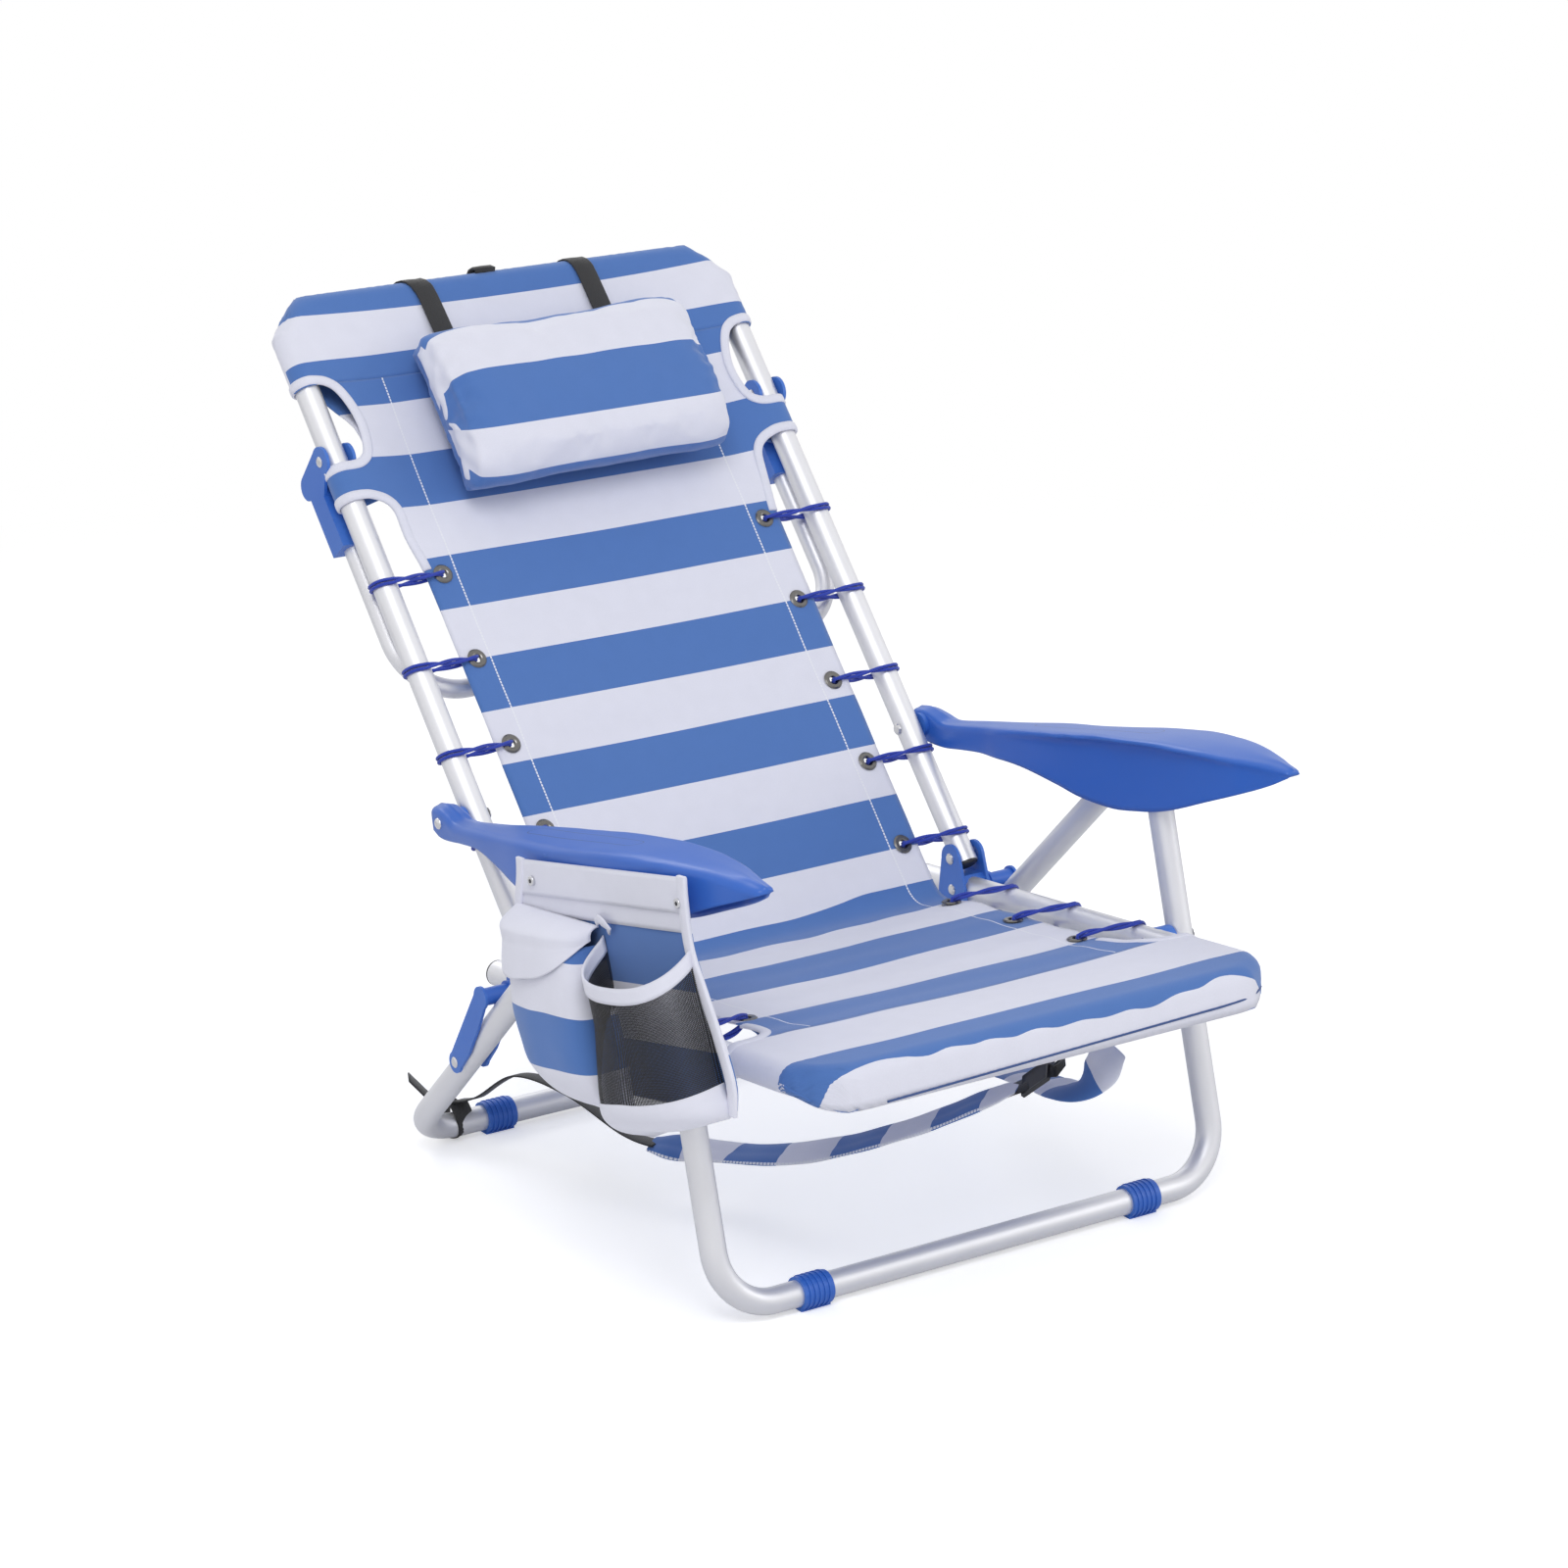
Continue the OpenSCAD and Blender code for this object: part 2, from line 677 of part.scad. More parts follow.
module rack_outline() {
    first = rack_at - rack_pitch * (rack_count - 2);
    last = rack_at + rack_pitch;
    valley = pin_r + 0.25;
    steps = 8 * (rack_count - 1);
    polygon([
        for (k = [-4:steps + 3])
            let(s = first + (last - first) * k / steps,
                wave = cos(360 * k / 8), near = abs(s - rack_at) < 3.4)
            [s, near ? valley : valley - 5.2 * (1 - wave) / 2],
        [last + 14, 40], [first - 14, 40]
    ]);
}

module rack(x0, x1) {
    translate([0, arm_pivot[0], arm_pivot[1]])
        rotate([rack_dir, 0, 0])
            mirror([0, 0, 1])
                plate(x0, x1) rack_outline();
}

module armrest(s) {
    color(blue)
    mirror([s < 0 ? 1 : 0, 0, 0])
    difference() {
        union() {
            arm_skin();
            rod(arm_pivot, 12, half_w + tube_r + 0.8, half_w + 27.9);
            intersection() {
                union() {
                    rack(half_w + 15, half_w + 23.5);
                    rack(half_w + 59.6, half_w + 78);
                }
                loft([for (k = [len(arm_stations) - 2:-1:2]) arm_ring(arm_stations[k], 1)]);
            }
        }
        rod(arm_pivot, run_r, half_w, half_w + 40);
        if (s < 0)
            for (p = pouch_pins)
                rod(p, 2, half_w + 50, half_w + 90);
    }
}

// ---------- pouch on the left armrest ----------

pouch_x = half_w + 78.5;
pouch_t = 2;
pouch_pins = [[53, 367], [-184, 415]];
panel_corners = [[100, 372], [34, 190], [-271, 256], [-205, 437]];

// Point of the panel: u from rear to front, v from top to bottom
function panel(u, v) = mix(mix(panel_corners[0], panel_corners[3], u), mix(panel_corners[1], panel_corners[2], u), v);

module pouch_panel() {
    color(white)
    mirror([1, 0, 0])
        difference() {
            union() {
                plate(pouch_x, pouch_x + pouch_t) polygon(panel_corners);
                plate(pouch_x, pouch_x + pouch_t + 1.2)
                    polygon([panel(-0.02, -0.03), panel(0.03, -0.03), panel(0.03, 0.99), panel(-0.02, 0.97)]);
                plate(pouch_x, pouch_x + pouch_t + 1.2)
                    polygon([panel(0.96, -0.03), panel(1.01, -0.03), panel(1.01, 1.05), panel(0.96, 1.02)]);
                plate(pouch_x, pouch_x + pouch_t + 0.8)
                    polygon([panel(0.03, 0.01), panel(0.96, 0.01), panel(0.96, 0.21), panel(0.03, 0.21)]);
            }
            for (p = pouch_pins) rod(p, 2, pouch_x - 5, pouch_x + 10);
        }
}

// Ring of the pocket at one depth, pulled in towards its middle by e
function pocket_ring(x, e, pts) =
    [for (p = pts) [x, mix(p[0], 10, e), mix(p[1], 275, e)]];

pocket_edge = [panel(0.04, 0.3), panel(0.036, 0.6), panel(0.06, 0.86), panel(0.16, 0.98), panel(0.3, 1.04),
    panel(0.475, 1.06), panel(0.475, 0.6), panel(0.475, 0.3), panel(0.25, 0.26)];

module pouch_pocket() {
    x = pouch_x + pouch_t + 0.1;
    pts = pocket_edge;
    color(sky)
    mirror([1, 0, 0])
        loft([for (q = [[0, 0], [0.55, 0.01], [0.86, 0.07], [1, 0.24]])
            pocket_ring(x + q[0] * pocket_depth, q[1], pts)]);
}

module pouch_flap() {
    x = pouch_x + pouch_t + 1.4;
    color(white)
    mirror([1, 0, 0])
        difference() {
            loft([for (q = [[0, 0], [0.6, 0.02], [0.9, 0.08], [1, 0.22]])
                pocket_ring(x + q[0] * (pocket_depth + 1.6), q[1],
                    [panel(-0.01, 0.21), panel(-0.015, 0.45), panel(0.08, 0.56), panel(0.24, 0.6), panel(0.36, 0.48),
                    panel(0.5, 0.24), panel(0.44, 0.2), panel(0.2, 0.19)])]);
            loft([for (q = [[-0.1, -0.006], [0.55, 0.008], [0.86, 0.066], [1, 0.235]])
                pocket_ring(x - 1 + q[0] * pocket_depth, q[1] - 0.014, pocket_edge)]);
        }
}

// Horizontal section of the drink holder: open D against the panel
function cup_ring(v, out, w) =
    let(a = panel(0.5, v) + [-w, 0], b = panel(0.955, v) + [w, 0], x = pouch_x + pouch_t + 0.1)
    [for (k = [0:8]) let(t = 180 * k / 8, m = mix(a, b, (1 - cos(t)) / 2))
        [x + (out - w) * sin(t) ^ 0.7, m[0], m[1]]];

module cup_holder() {
    color(black)
    mirror([1, 0, 0])
        difference() {
            loft([for (q = [[1.1, 30], [1.04, 50], [0.9, 60], [0.36, cup_reach]]) cup_ring(q[0], q[1], 0)]);
            loft([for (q = [[1.07, 32], [1.02, 50], [0.9, 60], [0.3, cup_reach]]) cup_ring(q[0], q[1], 1.6)]);
        }
}

module pouch_rivets() {
    color(steel)
    mirror([1, 0, 0])
        for (p = pouch_pins) {
            rod(p, 2, half_w + 66, pouch_x + pouch_t + 0.8);
            head(p, pouch_x + pouch_t + 0.8, 5, 1.6);
        }
}

// ---------- legs ----------

front_top = along(leg_pivot, front_bar, front_dir) + 164.5;
rear_top = along(pin_pivot, rear_bar, rear_dir) + tube_r;

module front_leg_frame() {
    color(alu)
    difference() {
        aim(front_bar, front_dir) u_tube(front_x, front_top, leg_bend_r);
        both() rod(leg_pivot, run_r, front_x - 20, front_x + 20);
        both() rod(knuckle_hole, 2, front_x - 20, front_x + 20);
    }
}

module rear_leg_frame() {
    color(alu)
    difference() {
        aim(rear_bar, rear_dir) u_tube(rear_x, rear_top, leg_bend_r);
        both() rod(pin_pivot, run_r, rear_x - 20, rear_x + 20);
        both() rod(link_low, pin_r, rear_x - 20, rear_x + 20);
        aim(pin_pivot, rear_dir)
            both()
                difference() {
                    translate([rear_x - 20, -20, 0]) cube([40, 40, 40]);
                    rod([0, 0], tube_r - 0.4, rear_x - 30, rear_x + 30);
                }
    }
}

module rear_leg_plugs() {
    color(black)
    aim(pin_pivot, rear_dir)
        both()
            intersection() {
                translate([rear_x, 0, pin_r + 0.6]) cylinder(r = bore_r - 0.15, h = 20);
                rod([0, 0], tube_r - 0.4, rear_x - 30, rear_x + 30);
            }
}

// Clip-on foot: ribbed sleeve with a flat sole on the ground
module foot(bar, x) {
    difference() {
        union() {
            rod(bar, tube_r + 3, x - foot_len / 2, x + foot_len / 2);
            translate([x - foot_len / 2, bar[0] - 8, 0]) cube([foot_len, 16, tube_r]);
            for (k = [-2:2])
                rod(bar, tube_r + 3.9, x + k * foot_len / 6 - 0.9, x + k * foot_len / 6 + 0.9);
        }
        rod(bar, tube_r + 0.05, x - foot_len, x + foot_len);
        translate([x - foot_len, bar[0] - 40, -20]) cube([2 * foot_len, 80, 20]);
    }
}

module front_feet() {
    color(blue) both() foot(front_bar, half_w - 65);
}

module rear_feet() {
    color(blue) both() foot(rear_bar, half_w - 55);
}

knuckle_hole = leg_pivot + 148 * ray(front_dir);

// Cap on the front leg whose two cheeks carry the rear leg and the armrest pin
module leg_knuckle(s) {
    in = rear_x - tube_r - 0.4;
    out = rear_x + tube_r + 0.2;
    up = along(pin_pivot, leg_pivot, front_dir);
    off = across(pin_pivot, leg_pivot, front_dir);
    color(black)
    mirror([s < 0 ? 1 : 0, 0, 0])
    difference() {
        aim(leg_pivot, front_dir) {
            translate([front_x, 0, up - 45]) cylinder(r = tube_r + 2.5, h = 33);
            plate(in - 3, out + 3) polygon([[0, up - 43], [16.5, up - 43], [16.5, up - 14], [0, up - 12]]);
            plate(in - 3, in) {
                polygon([[0, up - 43], [16.5, up - 43], [off + 9, up - 3], [off, up + 9], [off - 6, up + 6.7], [0, up - 12]]);
                translate([off, up]) circle(r = 9);
            }
            plate(out, out + 3) {
                polygon([[0, up - 43], [16.5, up - 43], [off + 9, up - 3], [off, up + 9], [off - 6, up + 6.7], [0, up - 12]]);
                translate([off, up]) circle(r = 9);
            }
        }
        aim(leg_pivot, front_dir) translate([front_x, 0, 0]) cylinder(r = tube_r + 0.05, h = 164.55);
        rod(pin_pivot, pin_r, front_x - 20, front_x + 50);
        rod(knuckle_hole, 2, front_x - 50, front_x + 50);
    }
}

module knuckle_rivets() {
    color(steel)
    both() {
        rod(knuckle_hole, 2, front_x - tube_r - 2, front_x + tube_r);
    }
}

module leg_pins() {
    color(steel)
    both() rod(pin_pivot, pin_r, front_x - 13.5, front_x + 33);
}

// ---------- links ----------

module link_outline() {
    translate(link_low) circle(r = 10.5);
    translate(link_high) circle(r = 11);
    translate(link_low)
        rotate(link_dir)
            polygon([[0, -9.6], [92.7, -9.6], [92.7, 9.6], [62, 13], [26, 13.5], [0, 9.6]]);
}

module link(s) {
    in = rear_x - tube_r - 0.9;
    out = rear_x + tube_r + 0.7;
    color(blue)
    mirror([s < 0 ? 1 : 0, 0, 0])
    difference() {
        union() {
            plate(in - 3, in) link_outline();
            plate(out, out + 3) link_outline();
            rod(link_high, 8.4, in - 0.5, out + 0.5);
            rod(link_high, 9.6, ear_out + ear_t + 1.3, in - 2.5);
        }
        rod(link_low, run_r, in - 10, out + 10);
    }
}

module link_rivets() {
    in = rear_x - tube_r - 3.95;
    out = rear_x + tube_r + 3.75;
    color(steel)
    both() {
        rod(link_low, pin_r, in, out);
        head(link_low, out, 5.4, 1.8);
        mirror([1, 0, 0]) head(link_low, -in, 5.2, 1.6);
    }
}

// ---------- assembly ----------

module place() {
    translate([-mid_x, -mid_y, 0])
        children();
}

place() seat_frame();
place() rail_end_plugs();
place() hinge_bracket(-1);  // hinge_bracket_left
place() hinge_bracket(1);  // hinge_bracket_right
place() bracket_rivets();
place() back_pivot_rivets();
place() leg_spacers();
place() leg_bolts();
place() seat_sling();
place() seat_sleeve();
place() seat_eyelets();
place() seat_cords();
place() strap_pad_left();
place() strap_web_left();
place() strap_buckle();
place() strap_pad_right();
place() back_frame();
place() back_end_plugs();
place() back_sling();
place() back_sleeve();
place() back_eyelets();
place() back_cords();
place() pillow();
place() pillow_straps();
place() hang_tab();
place() armrest_bolts();
place() towel_bar();
place() towel_fork(-1);  // towel_fork_left
place() towel_fork(1);  // towel_fork_right
place() towel_rivets();
place() armrest(-1);  // armrest_left
place() armrest(1);  // armrest_right
place() pouch_panel();
place() pouch_pocket();
place() pouch_flap();
place() cup_holder();
place() pouch_rivets();
place() front_leg_frame();
place() front_feet();
place() leg_knuckle(-1);  // leg_knuckle_left
place() leg_knuckle(1);  // leg_knuckle_right
place() knuckle_rivets();
place() leg_pins();
place() rear_leg_frame();
place() rear_feet();
place() rear_leg_plugs();
place() link_rivets();
place() link(-1);  // link_left
place() link(1);  // link_right
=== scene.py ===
import json
import math

import bmesh
import bpy
from mathutils import Matrix, Vector, noise


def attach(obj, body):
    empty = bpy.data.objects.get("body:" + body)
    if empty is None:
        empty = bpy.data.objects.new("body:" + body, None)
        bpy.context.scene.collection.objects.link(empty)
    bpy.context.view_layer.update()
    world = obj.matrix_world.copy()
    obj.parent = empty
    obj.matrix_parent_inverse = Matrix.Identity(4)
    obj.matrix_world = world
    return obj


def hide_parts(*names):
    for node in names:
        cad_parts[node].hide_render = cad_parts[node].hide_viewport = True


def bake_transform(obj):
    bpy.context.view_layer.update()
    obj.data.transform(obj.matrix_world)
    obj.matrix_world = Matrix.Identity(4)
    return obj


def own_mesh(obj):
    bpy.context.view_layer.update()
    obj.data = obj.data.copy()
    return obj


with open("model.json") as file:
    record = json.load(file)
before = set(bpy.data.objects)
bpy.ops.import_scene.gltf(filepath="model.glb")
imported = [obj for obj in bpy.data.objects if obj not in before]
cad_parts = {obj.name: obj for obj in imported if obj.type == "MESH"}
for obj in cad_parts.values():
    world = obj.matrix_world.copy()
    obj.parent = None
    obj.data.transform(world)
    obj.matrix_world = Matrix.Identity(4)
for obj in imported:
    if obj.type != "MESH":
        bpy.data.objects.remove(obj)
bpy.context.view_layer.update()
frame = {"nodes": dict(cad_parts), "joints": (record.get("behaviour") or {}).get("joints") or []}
mm = 0.001

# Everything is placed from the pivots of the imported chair, in millimetres from there.
pivots = {j["name"]: Vector(j["pos_m"]) for j in frame["joints"]}
backPivot = pivots["back_fold"]
backUp = (pivots["towel_swing"] - backPivot).normalized()
backOut = Vector((0, -backUp.z, backUp.y))
seatTilt = math.radians(-5.654)
seatRear = Vector((0, math.cos(seatTilt), math.sin(seatTilt)))
seatUp = Vector((0, -math.sin(seatTilt), math.cos(seatTilt)))
ground = backPivot + Vector((0, -187.8, -242.3)) * mm
seatOrigin = ground + Vector((0, 0, 229.47)) * mm
tube = {"radius": 12.5, "rail": 254, "topBar": 700, "bend": 50, "clothed": 14.4}


def onBack(x, up, out):  # across, up the back from its pivot, out to the front
    return backPivot + Vector((x * mm, 0, 0)) + backUp * (up * mm) + backOut * (out * mm)


def onSeat(x, rear, up):  # across, to the rear along the rails, up from their centres
    return seatOrigin + Vector((x * mm, 0, 0)) + seatRear * (rear * mm) + seatUp * (up * mm)


def onBag(x, front, up):  # as onSeat, but measured to the front
    return onSeat(x, -front, up)


def onSide(x, y, z):  # across, to the rear and up from the ground
    return ground + Vector((x, y, z)) * mm


def backLocal(point):
    spot = point - backPivot
    return spot.x / mm, spot.dot(backUp) / mm, spot.dot(backOut) / mm


def seatLocal(point):
    spot = point - seatOrigin
    return spot.x / mm, -spot.dot(seatRear) / mm, spot.dot(seatUp) / mm


def mix(a, b, t):
    return a + (b - a) * t


def smooth(low, high, x):
    t = min(1.0, max(0.0, (x - low) / (high - low)))
    return t * t * (3 - 2 * t)


def track(points, x):  # smooth curve through [x, value] rows
    i = 0
    while i < len(points) - 2 and x > points[i + 1][0]:
        i += 1

    def slope(k):
        k = min(max(k, 0), len(points) - 1)
        a, b = points[max(k - 1, 0)], points[min(k + 1, len(points) - 1)]
        return (b[1] - a[1]) / (b[0] - a[0])

    h = points[i + 1][0] - points[i][0]
    t = min(1.0, max(0.0, (x - points[i][0]) / h))
    a, b = points[i][1], points[i + 1][1]
    ma, mb = slope(i) * h, slope(i + 1) * h
    return ((2 * t ** 3 - 3 * t ** 2 + 1) * a + (t ** 3 - 2 * t ** 2 + t) * ma
            + (3 * t ** 2 - 2 * t ** 3) * b + (t ** 3 - t ** 2) * mb)


# camera, floor and light
camera = {"at": (-2503.04, -3466.54, 1780.56), "turn": -34.7944, "tilt": -17.7356, "roll": 0.0759,
          "focal": 4929.05, "frame": 1600}
lens = bpy.data.cameras.new("camera")
lens.sensor_width = 36
lens.lens = camera["focal"] / camera["frame"] * lens.sensor_width
lens.clip_start = 0.1
lens.clip_end = 60
viewer = bpy.data.objects.new("camera", lens)
bpy.context.scene.collection.objects.link(viewer)
viewer.matrix_world = (Matrix.Translation(onSide(*camera["at"]))
                       @ Matrix.Rotation(math.radians(camera["turn"]), 4, "Z")
                       @ Matrix.Rotation(math.radians(90 + camera["tilt"]), 4, "X")
                       @ Matrix.Rotation(math.radians(camera["roll"]), 4, "Z"))
bpy.context.scene.camera = viewer
bpy.context.scene.view_settings.view_transform = "Standard"


def link(name, data, body=None):
    piece = bpy.data.objects.new(name, data)
    bpy.context.scene.collection.objects.link(piece)
    if body:
        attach(piece, body)
    return piece


def newMaterial(name):
    made = bpy.data.materials.new(name)
    made.use_nodes = True
    tree = made.node_tree
    tree.nodes.clear()
    out = tree.nodes.new("ShaderNodeOutputMaterial")
    return made, tree, out


def feed(tree, values, sockets):  # values are set, outputs of other nodes are linked
    for key, value in values.items():
        if isinstance(value, bpy.types.NodeSocket):
            tree.links.new(value, sockets[key])
        else:
            sockets[key].default_value = value


def addNode(tree, kind, **values):  # socket names are written with _ for a space
    node = tree.nodes.new("ShaderNode" + kind)
    feed(tree, {label.replace("_", " "): value for label, value in values.items()}, node.inputs)
    return node


def calculate(tree, operation, first, second=None, third=None):
    node = tree.nodes.new("ShaderNodeMath")
    node.operation = operation
    given = {i: value for i, value in enumerate((first, second, third)) if value is not None}
    feed(tree, given, node.inputs)
    return node.outputs[0]


def splitVector(tree, vector):
    return addNode(tree, "SeparateXYZ", Vector=vector).outputs


def uvOf(tree, name):
    node = addNode(tree, "UVMap")
    node.uv_map = name
    return node.outputs[0]


def joinShaders(tree, kind, first, second, factor=None):
    node = addNode(tree, kind)
    start = 0
    if factor is not None:
        tree.links.new(factor, node.inputs[0])
        start = 1
    feed(tree, {start: first, start + 1: second}, node.inputs)
    return node.outputs[0]


def toMesh(shape, name):
    mesh = bpy.data.meshes.new(name)
    shape.to_mesh(mesh)
    shape.free()
    return mesh


def only(made, kind):
    return [item for item in made if isinstance(item, kind)]


def runningLengths(points, unit=1):
    lengths = [0.0]
    for a, b in zip(points, points[1:]):
        lengths.append(lengths[-1] + (b - a).length / unit)
    return lengths


floorFacts = {"half": 9, "colour": (0.86, 0.86, 0.87, 1), "glow": 0.42, "whiteFrom": 0.75, "whiteTo": 2.6}
plainWhite = (1, 1, 1, 1)


def makeStage():
    shape = bmesh.new()
    bmesh.ops.create_grid(shape, x_segments=1, y_segments=1, size=floorFacts["half"])
    mesh = toMesh(shape, "floor")
    made, tree, out = newMaterial("paleFloor")
    seen = addNode(tree, "LightPath").outputs["Is Camera Ray"]
    matte = addNode(tree, "BsdfDiffuse", Color=floorFacts["colour"])
    strength = calculate(tree, "MULTIPLY", seen, floorFacts["glow"])
    glow = addNode(tree, "Emission", Color=plainWhite, Strength=strength)
    near = joinShaders(tree, "AddShader", matte.outputs[0], glow.outputs[0])
    # further off the floor turns plain white, so its edge isn't seen
    away = tree.nodes.new("ShaderNodeVectorMath")
    away.operation = "LENGTH"
    tree.links.new(addNode(tree, "TexCoord").outputs["Object"], away.inputs[0])
    far = tree.nodes.new("ShaderNodeMapRange")
    far.interpolation_type = "SMOOTHSTEP"
    feed(tree, {"From Min": floorFacts["whiteFrom"], "From Max": floorFacts["whiteTo"],
                "Value": away.outputs["Value"]}, far.inputs)
    shown = calculate(tree, "MULTIPLY", far.outputs["Result"], seen)
    white = addNode(tree, "Emission", Color=plainWhite)
    both = joinShaders(tree, "MixShader", near, white.outputs[0], shown)
    tree.links.new(both, out.inputs["Surface"])
    mesh.materials.append(made)
    link("floor", mesh)


def makeWorld():
    world = bpy.data.worlds.new("studio")
    bpy.context.scene.world = world
    world.use_nodes = True
    tree = world.node_tree
    tree.nodes.clear()
    soft = addNode(tree, "Background", Color=(0.97, 0.98, 1.0, 1), Strength=0.62)
    plain = addNode(tree, "Background", Color=plainWhite, Strength=1.0)
    rays = addNode(tree, "LightPath").outputs
    seen = calculate(tree, "MAXIMUM", rays["Is Camera Ray"], rays["Is Transmission Ray"])
    seen = calculate(tree, "MAXIMUM", seen, rays["Is Glossy Ray"])
    both = joinShaders(tree, "MixShader", soft.outputs[0], plain.outputs[0], seen)
    addNode(tree, "OutputWorld", Surface=both)


def makeLamp(name, place, aim, size, power):
    lamp = bpy.data.lights.new(name, "AREA")
    lamp.shape = "RECTANGLE"
    lamp.size, lamp.size_y = size
    lamp.energy = power
    holder = bpy.data.objects.new(name, lamp)
    bpy.context.scene.collection.objects.link(holder)
    holder.location = place
    holder.rotation_euler = (Vector(aim) - Vector(place)).to_track_quat("-Z", "Y").to_euler()


lamps = {
    "key": ((-1.6, -2.2, 3.4), (0, 0, 0.35), (1.8, 1.8), 52),
    "fill": ((3.2, -2.4, 1.9), (0, 0, 0.35), (2.2, 1.6), 20),
    "rim": ((0.4, 3.2, 2.8), (0, 0, 0.4), (2.6, 1.2), 26),
}
makeStage()
makeWorld()
for lampName, lampFacts in lamps.items():
    makeLamp(lampName, *lampFacts)
print("stage ready")


# shared effects, as node groups
def newGroup(name, inputs, outputs):
    made = bpy.data.node_groups.new(name, "ShaderNodeTree")
    for label, kind, value in inputs:
        socket = made.interface.new_socket(name=label, in_out="INPUT", socket_type="NodeSocket" + kind)
        if value is not None:
            socket.default_value = value
    for label, kind in outputs:
        made.interface.new_socket(name=label, in_out="OUTPUT", socket_type="NodeSocket" + kind)
    return made, made.nodes.new("NodeGroupInput"), made.nodes.new("NodeGroupOutput")


def noiseNode(tree, vector, scale, detail):
    node = addNode(tree, "TexNoise", Vector=vector, Scale=scale, Detail=detail)
    return node.outputs["Fac"]


def makeWeaveGroup():  # crossed threads on a vector in metres
    made, given, result = newGroup(
        "clothWeave",
        [("Vector", "Vector", None), ("Threads", "Float", 1100.0), ("Mottle", "Float", 0.1)],
        [("Shade", "Float"), ("Height", "Float")])
    spread = splitVector(made, given.outputs["Vector"])
    ways = []
    for axis in ("X", "Y"):
        turns = calculate(made, "MULTIPLY", spread[axis], given.outputs["Threads"])
        ways.append(calculate(made, "SINE", calculate(made, "MULTIPLY", turns, 2 * math.pi)))
    crossed = calculate(made, "MULTIPLY", ways[0], ways[1])
    fibre = noiseNode(made, given.outputs["Vector"], 900, 1)
    cloud = noiseNode(made, given.outputs["Vector"], 45, 3)
    height = calculate(made, "MULTIPLY_ADD", crossed, 0.35, 0.5)
    made.links.new(calculate(made, "MULTIPLY_ADD", fibre, 0.4, height), result.inputs["Height"])
    uneven = calculate(made, "ADD", calculate(made, "MULTIPLY", cloud, 0.5),
                       calculate(made, "MULTIPLY", fibre, 0.5))
    low = calculate(made, "SUBTRACT", uneven, 0.5)
    shade = calculate(made, "MULTIPLY_ADD", low, given.outputs["Mottle"], 1.0)
    grid = calculate(made, "MULTIPLY_ADD", crossed, 0.03, shade)
    made.links.new(grid, result.inputs["Shade"])
    return made


def makeGrainGroup():  # fine moulded or cast grain, with slow unevenness
    made, given, result = newGroup(
        "fineGrain",
        [("Vector", "Vector", None), ("Scale", "Float", 700.0), ("Strength", "Float", 0.1)],
        [("Shade", "Float"), ("Height", "Float")])
    fine = noiseNode(made, given.outputs["Vector"], given.outputs["Scale"], 3)
    slow = noiseNode(made, given.outputs["Vector"], 18, 2)
    made.links.new(fine, result.inputs["Height"])
    spread = calculate(made, "SUBTRACT", calculate(made, "ADD", slow, fine), 1.0)
    shade = calculate(made, "MULTIPLY_ADD", spread, given.outputs["Strength"], 1.0)
    made.links.new(shade, result.inputs["Shade"])
    return made


def makeEdgeGroup():  # lighter rubbed edges
    made, given, result = newGroup(
        "rubbedEdge", [("Amount", "Float", 0.5)], [("Mask", "Float")])
    shape = made.nodes.new("ShaderNodeNewGeometry")
    sharp = calculate(made, "MULTIPLY", calculate(made, "SUBTRACT", shape.outputs["Pointiness"], 0.53), 9.0)
    clear = calculate(made, "MINIMUM", calculate(made, "MAXIMUM", sharp, 0.0), 1.0)
    made.links.new(calculate(made, "MULTIPLY", clear, given.outputs["Amount"]), result.inputs["Mask"])
    return made


def makeStitchGroup():  # a dashed line of thread at one place across
    made, given, result = newGroup(
        "stitchLine",
        [("Across", "Float", 0.0), ("Along", "Float", 0.0), ("Place", "Float", 0.0),
         ("Width", "Float", 0.0008), ("Pitch", "Float", 0.0036)],
        [("Mask", "Float")])
    apart = calculate(made, "SUBTRACT", given.outputs["Across"], given.outputs["Place"])
    off = calculate(made, "ABSOLUTE", apart)
    near = calculate(made, "LESS_THAN", off, given.outputs["Width"])
    pitches = calculate(made, "DIVIDE", given.outputs["Along"], given.outputs["Pitch"])
    turn = calculate(made, "FRACT", pitches)
    dash = calculate(made, "LESS_THAN", turn, 0.78)
    made.links.new(calculate(made, "MULTIPLY", near, dash), result.inputs["Mask"])
    return made


weaveGroup = makeWeaveGroup()
grainGroup = makeGrainGroup()
edgeGroup = makeEdgeGroup()
stitchGroup = makeStitchGroup()


# materials
def useGroup(tree, group, **values):
    node = tree.nodes.new("ShaderNodeGroup")
    node.node_tree = group
    feed(tree, values, node.inputs)
    return node.outputs


def mixColour(tree, factor, first, second, blend="MIX"):
    node = tree.nodes.new("ShaderNodeMix")
    node.data_type = "RGBA"
    node.blend_type = blend
    colours = [(*value, 1) if isinstance(value, tuple) else value for value in (first, second)]
    feed(tree, {0: factor, 6: colours[0], 7: colours[1]}, node.inputs)
    return node.outputs[2]


def shaded(tree, colour, shade):  # colour times a value near 1
    grey = addNode(tree, "CombineColor", Red=shade, Green=shade, Blue=shade)
    return mixColour(tree, 1.0, colour, grey.outputs[0], "MULTIPLY")


def addBump(tree, height, distance, strength, shader):
    bump = addNode(tree, "Bump", Distance=distance, Strength=strength, Height=height)
    tree.links.new(bump.outputs[0], shader.inputs["Normal"])


